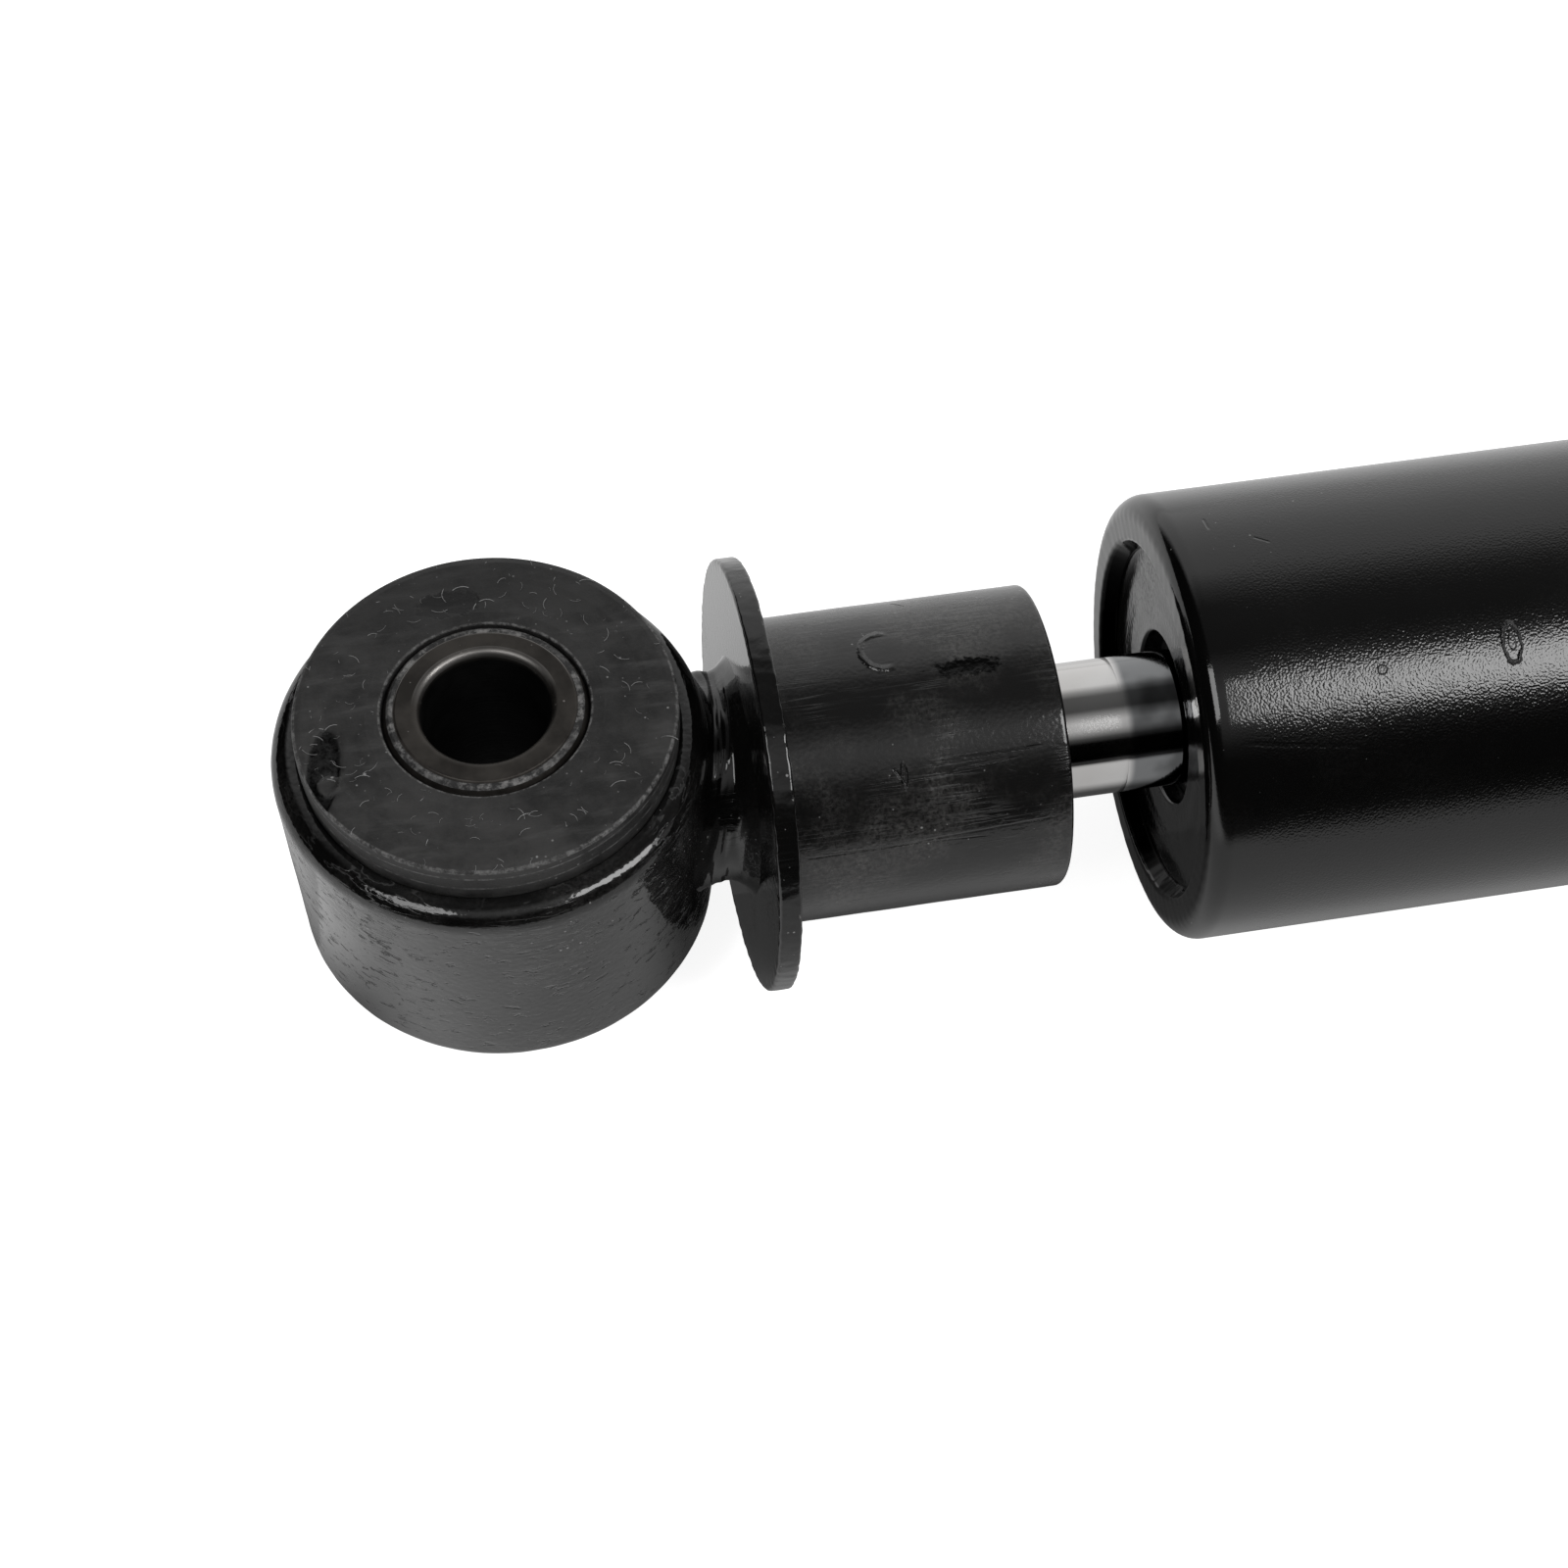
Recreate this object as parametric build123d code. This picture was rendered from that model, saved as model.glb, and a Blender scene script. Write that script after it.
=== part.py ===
from build123d import *
import os
from math import cos, radians, sin, sqrt

# Twin-tube shock absorber of a golf cart, lying on its side, in millimetres.
# The origin is the centre of the rod end's eye. +X runs along the damper to the
# body's eye, and +Z runs along both eye bores. The rod is drawn as photographed,
# nearly pushed home.

# Overall
EYE_TO_EYE = 266.0
COLLAR_TO_CAP = 11.9
STOP_GAP = 0.3

# Clearances
SEATED = 0.0
SLIP = 0.05
RUNNING = 0.05
SLEEVE_RUNNING = 0.03
BAND_RUNNING = 0.03

# Eyes: a steel ring, a rubber bushing and a steel sleeve at each end
RING_OD = 38.0
RING_WALL = 2.5
RING_WIDTH = 23.8
RING_EDGE = 1.0
BUSHING_LENGTH = 31.6
BUSHING_EDGE = 0.8
BUSHING_GROOVE = 0.5
SLEEVE_OD = 17.7
SLEEVE_BORE = 11.3
SLEEVE_PROUD = 0.2
SLEEVE_EDGE = 0.8
SLEEVE_MOUTH = 0.4

# Rod and the parts welded to its outer end
ROD_D = 12.5
ROD_NECK_LENGTH = 2.7
NECK_WAIST_D = 18.6
NECK_FLARE = 1.7
DISC_OD = 39.6
DISC_THICKNESS = 2.0
DISC_EDGE = 0.3
COLLAR_OD = 27.9
COLLAR_WALL = 3.0
COLLAR_LENGTH = 25.8
COLLAR_EDGE = 0.4
TAIL_D = 8.0
TAIL_EDGE = 0.8

# Body tube with its rolled rim, and the cap plate under the rim
BODY_OD = 41.3
BODY_WALL = 1.6
RIM_RADIUS = 2.0
RIM_LIP = 3.95
RIM_BEVEL = 1.25
CAP_THICKNESS = 2.0
CAP_HOLE_D = 16.0

# Rod seal, its spring and its backing washer
SEAL_OD = 28.0
SEAL_LENGTH = 7.0
SEAL_LIP_WALL = 2.1
SEAL_CAVITY = 0.9
SEAL_POCKET_OD = 21.6
SEAL_POCKET_DEPTH = 3.4
GARTER_WIRE_D = 1.0
GARTER_SIDES = 6
SEAL_WASHER_THICKNESS = 1.0
SEAL_WASHER_GAP = 0.4

# Rod guide, its bush and its sealing ring
GUIDE_HEAD_LENGTH = 13.0
GUIDE_LENGTH = 21.0
BUSH_LENGTH = 11.0
BUSH_WALL = 1.25
RING_SEAL_WIDTH = 1.6
RING_SEAL_DEPTH = 1.6
BLEED_HOLE_D = 2.0
BLEED_HOLES = 3

# Pressure tube
BORE_D = 27.0
PRESSURE_WALL = 1.5

# Rebound stop on the rod
BUMPER_OD = 22.0
BUMPER_LENGTH = 6.0
BUMPER_EDGE = 1.5
STOP_PLATE_OD = 20.0
STOP_PLATE_THICKNESS = 2.0
STOP_GROOVE_DEPTH = 0.6
STOP_TO_SHOULDER = 6.0

# Radial layout that the piston valve and the base valve share
HUB_D = 10.0
LIFT_STOP_D = 11.6
PORT_GAP = 0.1
INNER_PORT_D = 2.0
OUTER_PORT_D = 2.2
PORTS = 6
SEAT_GAP = 0.2
SEAT_WIDTH = 0.6
SEAT_HEIGHT = 0.8
CHECK_PLATE_THICKNESS = 0.6
CHECK_LIFT = 0.8
SPRING_LEAF = 0.3
SPRING_HEIGHT = 2.4
SPRING_FINGERS = 3
SPRING_FINGER_WIDTH = 3.0
SPRING_RING = 1.5
SHIM_THICKNESS = 0.3
SHIMS = 3
SHIM_STEP = 1.3
SHIM_OVERLAP = 0.2

# Piston
PISTON_LENGTH = 12.0
PISTON_LAND_GAP = 0.3
BAND_LENGTH = 8.0
BAND_THICKNESS = 1.0
BAND_CUT = 0.8
BAND_CUT_ANGLE = 30.0
CHECK_GUIDE_OD = 18.0
CHECK_GUIDE_THICKNESS = 1.5
PISTON_WASHER_OD = 12.6
PISTON_WASHER_THICKNESS = 1.5
NUT_FLATS = 13.0
NUT_SIDES = 6
NUT_HEIGHT = 6.5
TAIL_PAST_NUT = 1.4
ROD_END_GAP = 1.5

# Base valve
BASE_VALVE_SPIGOT = 4.0
BASE_VALVE_FLANGE = 3.0
BASE_VALVE_FOOT = 4.4
BASE_VALVE_FOOT_GAP = 0.4
FOOT_SLOTS = 4
FOOT_SLOT_WIDTH = 6.0
FOOT_SLOT_HEIGHT = 2.6
PIN_D = 5.0
PIN_HEAD_D = 17.0
PIN_HEAD = 2.5
PIN_RIVET_D = 9.0
PIN_RIVET = 1.6

# Base cap and the welds
BASE_CAP_WALL = 2.5
BASE_CAP_SHOULDER = 0.6
BASE_CAP_RADIUS = 4.0
BASE_CAP_BEVEL = 1.0
BASE_CAP_SKIRT_GAP = 0.3
BASE_NECK_LENGTH = 0.6
CAP_BEAD_CROWN = 0.5
ROUND_STEPS = 4

# Radii that follow from the sizes above
ring_r = RING_OD / 2
rod_r = ROD_D / 2
tail_r = TAIL_D / 2
body_r = BODY_OD / 2
body_bore_r = body_r - BODY_WALL
base_cap_r = body_bore_r + BASE_CAP_SHOULDER
bore_r = BORE_D / 2
pressure_r = bore_r + PRESSURE_WALL
hub_r = HUB_D / 2
lift_stop_r = LIFT_STOP_D / 2
seal_r = SEAL_OD / 2
guide_bore_r = rod_r + RUNNING + BUSH_WALL
groove_r = rod_r - STOP_GROOVE_DEPTH
pin_r = PIN_D / 2
inner_port_pitch_r = lift_stop_r + PORT_GAP + INNER_PORT_D / 2
inner_seat_r = inner_port_pitch_r + INNER_PORT_D / 2 + SEAT_GAP
inner_seat_outer_r = inner_seat_r + SEAT_WIDTH
piston_land_r = bore_r - PISTON_LAND_GAP
band_groove_r = piston_land_r - BAND_THICKNESS
outer_port_pitch_r = (inner_seat_outer_r + band_groove_r) / 2
outer_seat_r = outer_port_pitch_r + OUTER_PORT_D / 2 + SEAT_GAP
outer_seat_outer_r = outer_seat_r + SEAT_WIDTH

# Places along X of the parts on the rod's outer end and of the body's mouth
disc_x = ring_r + ROD_NECK_LENGTH
collar_x = disc_x + DISC_THICKNESS
collar_end_x = collar_x + COLLAR_LENGTH
cap_x = collar_end_x + COLLAR_TO_CAP
rim_x = cap_x - BODY_WALL
seal_x = cap_x + CAP_THICKNESS
seal_end_x = seal_x + SEAL_LENGTH
washer_end_x = seal_end_x + SEAL_WASHER_THICKNESS
pressure_x = seal_x + GUIDE_HEAD_LENGTH
guide_end_x = seal_x + GUIDE_LENGTH
bush_x = guide_end_x - BUSH_LENGTH

# Places along X at the base, worked back from the base eye
base_face_x = EYE_TO_EYE - ring_r - BASE_NECK_LENGTH
base_floor_x = base_face_x - BASE_CAP_WALL
body_end_x = base_face_x - BASE_CAP_RADIUS
foot_x = base_floor_x - BASE_VALVE_FOOT
pressure_end_x = foot_x - BASE_VALVE_FLANGE
base_valve_x = pressure_end_x - BASE_VALVE_SPIGOT
base_mouth_x = foot_x + BASE_CAP_SKIRT_GAP
pin_head_x = base_valve_x - CHECK_PLATE_THICKNESS - SPRING_HEIGHT - PIN_HEAD

# Places along X of the piston, worked back from the base valve and the stroke left
compression_left = COLLAR_TO_CAP - STOP_GAP
rod_end_x = pin_head_x - ROD_END_GAP - compression_left
nut_x = rod_end_x - TAIL_PAST_NUT - NUT_HEIGHT
piston_washer_x = nut_x - PISTON_WASHER_THICKNESS
shims_x = piston_washer_x - SHIMS * SHIM_THICKNESS
piston_x = shims_x - PISTON_LENGTH
check_x = piston_x - CHECK_PLATE_THICKNESS
check_guide_x = check_x - SPRING_HEIGHT - CHECK_GUIDE_THICKNESS
stop_plate_x = check_guide_x - STOP_TO_SHOULDER - STOP_PLATE_THICKNESS
bumper_x = stop_plate_x - BUMPER_LENGTH
extension_left = bumper_x - guide_end_x - STOP_GAP


def outline(points, rounds=None):
    """A closed flat face through the points. rounds gives some corners a radius."""
    face = make_face(Polyline(*points, close=True))
    for corner, radius in (rounds or {}).items():
        nearest = face.vertices().sort_by_distance(Vector(*corner))[0]
        face = fillet(nearest, radius)
    return face


def turned(points, rounds=None):
    """A piece turned about the damper's axis, from an outline of (x, radius) points."""
    return revolve(outline(points, rounds), Axis.X)


def turned_eye(points, eye_x):
    """A piece turned about an eye's bore, from an outline of (radius, z) points."""
    return Pos(eye_x, 0, 0) * revolve(Plane.XZ * outline(points), Axis.Z)


def mirrored(side):
    """A whole outline of (radius, z) points from its upper half."""
    return side + [(r, -z) for r, z in reversed(side)]


def round_points(centre, radius, start, end):
    """Points of a light round: a few flats along an arc, from one angle to the other."""
    angles = [radians(start + (end - start) * i / ROUND_STEPS) for i in range(ROUND_STEPS + 1)]
    return [(centre[0] + radius * cos(a), centre[1] + radius * sin(a)) for a in angles]


def tube(x0, x1, inner_r, outer_r):
    """A plain tube, washer or disc between two planes across the axis."""
    return turned([(x0, inner_r), (x0, outer_r), (x1, outer_r), (x1, inner_r)])


def drilled(x0, x1, pitch_r, hole_r, count, turn=0):
    """Drills for a ring of holes along X."""
    drill = Rot(0, 90, 0) * Cylinder(hole_r, x1 - x0, align=(Align.CENTER, Align.CENTER, Align.MIN))
    return [Rot(turn + 360 * i / count, 0, 0) * Pos(x0, 0, pitch_r) * drill for i in range(count)]


def eye_ring(eye_x):
    """Steel ring with its outer edges broken."""
    half = RING_WIDTH / 2
    side = [(ring_r - RING_WALL, half), (ring_r - RING_EDGE, half), (ring_r, half - RING_EDGE)]
    return turned_eye(mirrored(side), eye_x)


def eye_bushing(eye_x):
    """Rubber bushing that stands proud of its ring, with a groove round the sleeve."""
    outer = ring_r - RING_WALL - SEATED
    inner = SLEEVE_OD / 2 + SLEEVE_RUNNING
    half = BUSHING_LENGTH / 2
    mouth = half - BUSHING_GROOVE
    edge = half - BUSHING_EDGE
    side = [(inner, mouth), (inner + BUSHING_GROOVE, half), (outer - BUSHING_EDGE, half), (outer, edge)]
    return turned_eye(mirrored(side), eye_x)


def eye_sleeve(eye_x):
    """Steel sleeve that the mounting bolt clamps."""
    outer, inner, half = SLEEVE_OD / 2, SLEEVE_BORE / 2, BUSHING_LENGTH / 2 + SLEEVE_PROUD
    side = [
        (inner, half - SLEEVE_MOUTH),
        (inner + SLEEVE_MOUTH, half),
        (outer - SLEEVE_EDGE, half),
        (outer, half - SLEEVE_EDGE),
    ]
    return turned_eye(mirrored(side), eye_x)


def weld_neck(length, hole_r):
    """Weld metal from an eye ring to a flat face, drawn in to a waist, for an eye at the origin."""
    waist_r = NECK_WAIST_D / 2
    foot_r = waist_r + NECK_FLARE
    face_d = ring_r + length
    root_d = sqrt(ring_r**2 - foot_r**2)
    waist_d = (root_d + face_d) / 2
    points = [(root_d, hole_r), (root_d, foot_r), (waist_d, waist_r), (face_d, foot_r), (face_d, hole_r)]
    return turned(points) - Cylinder(ring_r, 2 * RING_WIDTH)


def ported_disc(x0, x1, hole_r):
    """A valve disc: the check plate's ports open in a groove on one face, the shims' on the other."""
    disc = tube(x0, x1, hole_r, piston_land_r)
    disc -= tube(x0, x0 + SEAT_HEIGHT, inner_seat_outer_r, outer_seat_r)
    disc -= tube(x1 - SEAT_HEIGHT, x1, lift_stop_r, inner_seat_r)
    disc -= drilled(x0, x1, inner_port_pitch_r, INNER_PORT_D / 2, PORTS)
    disc -= drilled(x0, x1, outer_port_pitch_r, OUTER_PORT_D / 2, PORTS, 180 / PORTS)
    return disc


def check_plate(x0):
    """Thin plate that covers the outer ports and has windows over the inner ones."""
    plate = tube(x0, x0 + CHECK_PLATE_THICKNESS, hub_r + RUNNING, outer_seat_outer_r)
    windows = drilled(x0, x0 + CHECK_PLATE_THICKNESS, inner_port_pitch_r, INNER_PORT_D / 2, PORTS)
    return plate - windows


def finger_spring(x0):
    """Leaf spring: a flat ring with bent fingers that press on a check plate."""
    hole_r = lift_stop_r + SLIP
    ring_outer_r = hole_r + SPRING_RING
    tip_r = outer_port_pitch_r
    spring = tube(x0, x0 + SPRING_LEAF, hole_r, ring_outer_r)
    root_r = ring_outer_r - SPRING_LEAF
    flat = outer_seat_outer_r - tip_r
    finger = [
        (x0, root_r),
        (x0 + SPRING_HEIGHT - SPRING_LEAF, tip_r),
        (x0 + SPRING_HEIGHT - SPRING_LEAF, tip_r + flat),
        (x0 + SPRING_HEIGHT, tip_r + flat),
        (x0 + SPRING_HEIGHT, tip_r - SPRING_LEAF),
        (x0 + SPRING_LEAF, root_r - SPRING_LEAF),
        (x0, root_r - SPRING_LEAF),
    ]
    blade = extrude(outline(finger), SPRING_FINGER_WIDTH / 2, both=True)
    for i in range(SPRING_FINGERS):
        spring += Rot(360 * i / SPRING_FINGERS, 0, 0) * blade
    return spring


def shim_stack(x0, hole_r):
    """Stack of spring-steel shims that shrink away from the valve they cover."""
    largest_r = inner_seat_outer_r + SHIM_OVERLAP
    shims = []
    for i in range(SHIMS):
        start = x0 + i * SHIM_THICKNESS
        shims.append(tube(start, start + SHIM_THICKNESS, hole_r + SLIP, largest_r - i * SHIM_STEP))
    return Compound(children=shims)


def piston_rod():
    """Chromed rod with a saddle at the eye, a groove for the stop plate and a reduced tail."""
    rod = turned(
        [
            (0, 0),
            (0, rod_r),
            (stop_plate_x, rod_r),
            (stop_plate_x, groove_r),
            (stop_plate_x + STOP_PLATE_THICKNESS, groove_r),
            (stop_plate_x + STOP_PLATE_THICKNESS, rod_r),
            (check_guide_x, rod_r),
            (check_guide_x, tail_r),
            (rod_end_x - TAIL_EDGE, tail_r),
            (rod_end_x, tail_r - TAIL_EDGE),
            (rod_end_x, 0),
        ]
    )
    return rod - Cylinder(ring_r, RING_WIDTH)


def stop_disc():
    """Disc blanked from plate, with worn edges."""
    end, outer = disc_x + DISC_THICKNESS, DISC_OD / 2
    return turned(
        [
            (disc_x, rod_r + SLIP),
            (disc_x, outer - DISC_EDGE),
            (disc_x + DISC_EDGE, outer),
            (end - DISC_EDGE, outer),
            (end, outer - DISC_EDGE),
            (end, rod_r + SLIP),
        ]
    )


def travel_collar():
    """Length of tube on the disc. Its far end meets the cap when the shock is pushed home."""
    outer, inner = COLLAR_OD / 2, COLLAR_OD / 2 - COLLAR_WALL
    return turned(
        [
            (collar_x, inner),
            (collar_x, outer),
            (collar_end_x - COLLAR_EDGE, outer),
            (collar_end_x, outer - COLLAR_EDGE),
            (collar_end_x, inner),
        ]
    )


def reserve_tube():
    """Outer tube whose mouth is rolled in over the cap plate."""
    lip_r = body_r - RIM_LIP
    inner_radius = RIM_RADIUS - BODY_WALL
    points = [
        (rim_x, lip_r),
        (rim_x, body_r),
        (body_end_x, body_r),
        (body_end_x, body_bore_r),
        (cap_x + inner_radius, body_bore_r),
        (cap_x, body_bore_r - inner_radius),
        (cap_x, lip_r - RIM_BEVEL),
    ]
    return turned(points, {(rim_x, body_r): RIM_RADIUS})


def end_cap():
    """Pressed plate under the rolled rim. Its edge follows the roll."""
    outer = body_bore_r - SLIP
    edge = RIM_RADIUS - BODY_WALL
    return turned(
        [
            (cap_x, CAP_HOLE_D / 2),
            (cap_x, outer - edge),
            (cap_x + edge, outer),
            (cap_x + CAP_THICKNESS, outer),
            (cap_x + CAP_THICKNESS, CAP_HOLE_D / 2),
        ]
    )


def rod_seal():
    """Rubber seal with a dust lip, an oil lip and a pocket for the garter spring."""
    lip_r = rod_r + RUNNING
    lip_outer_r = lip_r + SEAL_LIP_WALL
    cavity_r = lip_r + SEAL_CAVITY
    pocket_x = seal_end_x - SEAL_POCKET_DEPTH
    oil_lip_x = seal_end_x - GARTER_WIRE_D
    return turned(
        [
            (seal_x, cavity_r),
            (seal_x, seal_r),
            (seal_end_x, seal_r),
            (seal_end_x, SEAL_POCKET_OD / 2),
            (pocket_x, SEAL_POCKET_OD / 2),
            (pocket_x, lip_outer_r),
            (seal_end_x, lip_outer_r),
            (seal_end_x, cavity_r),
            (oil_lip_x, lip_r),
            (pocket_x, cavity_r),
            (seal_x + 2 * SEAL_CAVITY, cavity_r),
            (seal_x + SEAL_CAVITY, lip_r),
        ]
    )


def garter_spring():
    """Spring ring round the oil lip, with a few flat sides."""
    wire_r = GARTER_WIRE_D / 2
    middle_r = rod_r + RUNNING + SEAL_LIP_WALL + wire_r
    middle_x = seal_end_x - GARTER_WIRE_D
    corners = [radians(360 * (i + 0.5) / GARTER_SIDES) for i in range(GARTER_SIDES)]
    return turned([(middle_x + wire_r * sin(a), middle_r + wire_r * cos(a)) for a in corners])


def seal_washer():
    """Steel washer that backs the seal."""
    return tube(seal_end_x, washer_end_x, rod_r + SEAL_WASHER_GAP, seal_r)


def rod_guide():
    """Sintered guide: a head that fills the body tube and a spigot in the pressure tube."""
    head_r = body_bore_r - SLIP
    spigot_r = bore_r - SLIP
    ring_x = (seal_x + pressure_x - RING_SEAL_WIDTH) / 2
    guide = turned(
        [
            (seal_x, seal_r),
            (seal_x, head_r),
            (ring_x, head_r),
            (ring_x, head_r - RING_SEAL_DEPTH),
            (ring_x + RING_SEAL_WIDTH, head_r - RING_SEAL_DEPTH),
            (ring_x + RING_SEAL_WIDTH, head_r),
            (pressure_x, head_r),
            (pressure_x, spigot_r),
            (guide_end_x, spigot_r),
            (guide_end_x, guide_bore_r),
            (washer_end_x, guide_bore_r),
            (washer_end_x, seal_r),
        ]
    )
    bleed_r = (pressure_r + head_r) / 2
    slot_half = BLEED_HOLE_D / 2
    guide -= drilled(washer_end_x, pressure_x, bleed_r, slot_half, BLEED_HOLES)
    slot = Pos(washer_end_x + slot_half, 0, (guide_bore_r + bleed_r) / 2)
    slot *= Box(BLEED_HOLE_D, BLEED_HOLE_D, bleed_r - guide_bore_r)
    return guide - [Rot(360 * i / BLEED_HOLES, 0, 0) * slot for i in range(BLEED_HOLES)]


def guide_bush():
    """Lined bush that the rod slides in."""
    return tube(bush_x, guide_end_x, rod_r + RUNNING, guide_bore_r)


def guide_seal_ring():
    """Rubber ring in the guide's groove, against the body tube."""
    ring_x = (seal_x + pressure_x - RING_SEAL_WIDTH) / 2
    return tube(ring_x, ring_x + RING_SEAL_WIDTH, body_bore_r - SLIP - RING_SEAL_DEPTH, body_bore_r)


def pressure_tube():
    """Inner tube that the piston runs in."""
    return tube(pressure_x, pressure_end_x, bore_r, pressure_r)


def rebound_stop_plate():
    """Steel ring swaged into the rod's groove."""
    return tube(stop_plate_x, stop_plate_x + STOP_PLATE_THICKNESS, groove_r, STOP_PLATE_OD / 2)


def rebound_bumper():
    """Rubber ring that meets the rod guide at full extension."""
    outer = BUMPER_OD / 2
    return turned(
        [
            (bumper_x, rod_r + SLIP),
            (bumper_x, outer - BUMPER_EDGE),
            (bumper_x + BUMPER_EDGE, outer),
            (stop_plate_x, outer),
            (stop_plate_x, rod_r + SLIP),
        ]
    )


def piston_check_guide():
    """Shouldered washer that seats the spring, guides the check plate and limits its lift."""
    flange_end_x = check_guide_x + CHECK_GUIDE_THICKNESS
    lift_x = check_x - CHECK_LIFT
    return turned(
        [
            (check_guide_x, tail_r + SLIP),
            (check_guide_x, CHECK_GUIDE_OD / 2),
            (flange_end_x, CHECK_GUIDE_OD / 2),
            (flange_end_x, lift_stop_r),
            (lift_x, lift_stop_r),
            (lift_x, hub_r),
            (piston_x, hub_r),
            (piston_x, tail_r + SLIP),
        ]
    )


def piston_body():
    """Sintered piston with two rings of ports and a groove for its band."""
    piston = ported_disc(piston_x, shims_x, tail_r + SLIP)
    band_x = (piston_x + shims_x - BAND_LENGTH) / 2
    return piston - tube(band_x, band_x + BAND_LENGTH, band_groove_r, bore_r)


def piston_band():
    """Split sliding band in the piston's groove."""
    band_x = (piston_x + shims_x - BAND_LENGTH) / 2 + SLIP
    length = BAND_LENGTH - 2 * SLIP
    band = tube(band_x, band_x + length, band_groove_r + RUNNING, bore_r - BAND_RUNNING)
    cut = Rot(0, 0, BAND_CUT_ANGLE) * Box(2 * length, BAND_CUT, bore_r)
    return band - Pos(band_x + length / 2, 0, -bore_r) * cut


def piston_washer():
    """Thick washer between the shims and the nut."""
    return tube(piston_washer_x, nut_x, tail_r + SLIP, PISTON_WASHER_OD / 2)


def piston_nut():
    """Hexagon nut on the rod's tail, with turned corners."""
    hexagon = RegularPolygon(NUT_FLATS / 2, NUT_SIDES, major_radius=False)
    blank = extrude(Plane.YZ.offset(nut_x) * hexagon, NUT_HEIGHT)
    flats_r = NUT_FLATS / 2
    corner_r = flats_r / cos(radians(180 / NUT_SIDES))
    chamfered = turned(
        [
            (nut_x, tail_r),
            (nut_x, flats_r),
            (nut_x + (corner_r - flats_r) / 2, corner_r),
            (nut_x + NUT_HEIGHT - (corner_r - flats_r) / 2, corner_r),
            (nut_x + NUT_HEIGHT, flats_r),
            (nut_x + NUT_HEIGHT, tail_r),
        ]
    )
    return blank & chamfered


def base_valve_body():
    """Base valve: a ported disc in the tube's end, on a slotted foot that stands on the base cap."""
    spigot_r = bore_r - SLIP
    valve = ported_disc(base_valve_x, foot_x, pin_r + SLIP)
    valve += tube(base_valve_x + SEAT_HEIGHT, pressure_end_x, piston_land_r, spigot_r)
    valve += tube(pressure_end_x, foot_x, piston_land_r, pressure_r)
    foot_inner_r = outer_seat_outer_r + BASE_VALVE_FOOT_GAP
    foot_outer_r = body_bore_r - BASE_CAP_WALL - BASE_CAP_BEVEL - BASE_VALVE_FOOT_GAP
    foot = tube(foot_x, base_floor_x, foot_inner_r, foot_outer_r)
    slot = Pos(base_floor_x - FOOT_SLOT_HEIGHT / 2, 0, 0) * Box(FOOT_SLOT_HEIGHT, FOOT_SLOT_WIDTH, BODY_OD)
    return valve + (foot - [Rot(360 * i / FOOT_SLOTS, 0, 0) * slot for i in range(FOOT_SLOTS // 2)])


def base_valve_pin():
    """Rivet that holds the base valve together. Its head carries the check plate's spring."""
    head_end_x = pin_head_x + PIN_HEAD
    lift_x = base_valve_x - CHECK_PLATE_THICKNESS - CHECK_LIFT
    rivet_x = foot_x + SHIMS * SHIM_THICKNESS
    return turned(
        [
            (pin_head_x, 0),
            (pin_head_x, PIN_HEAD_D / 2),
            (head_end_x, PIN_HEAD_D / 2),
            (head_end_x, lift_stop_r),
            (lift_x, lift_stop_r),
            (lift_x, hub_r),
            (base_valve_x, hub_r),
            (base_valve_x, pin_r),
            (rivet_x, pin_r),
            (rivet_x, PIN_RIVET_D / 2),
            (rivet_x + PIN_RIVET, PIN_RIVET_D / 2 - PIN_RIVET / 2),
            (rivet_x + PIN_RIVET, 0),
        ]
    )


def base_cap_corner():
    """The base cap's round outer corner, from the body tube's end to the flat face."""
    return round_points((body_end_x, base_cap_r - BASE_CAP_RADIUS), BASE_CAP_RADIUS, 90, 0)


def base_cap():
    """Pressed cup that closes the body. Its shoulder stops at the tube's end."""
    inner = body_bore_r - BASE_CAP_WALL
    sides = [
        (base_face_x, 0),
        (base_floor_x, 0),
        (base_floor_x, inner - BASE_CAP_BEVEL),
        (base_floor_x - BASE_CAP_BEVEL, inner),
        (base_mouth_x, inner),
        (base_mouth_x, body_bore_r),
        (body_end_x, body_bore_r),
    ]
    return turned(base_cap_corner() + sides)


def base_cap_weld():
    """Weld bead between the body tube's end and the base cap's corner."""
    seat = base_cap_corner()[: ROUND_STEPS // 2 + 1]
    top = (body_end_x, body_r)
    toe = seat[-1]
    crown = ((top[0] + toe[0]) / 2 + CAP_BEAD_CROWN, (top[1] + toe[1]) / 2 + CAP_BEAD_CROWN)
    return turned([top, crown] + seat[::-1])


def base_side(solid):
    """Turns a piece that was made for the rod's eye round to the base eye."""
    return Pos(EYE_TO_EYE, 0, 0) * Rot(0, 0, 180) * solid


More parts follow.
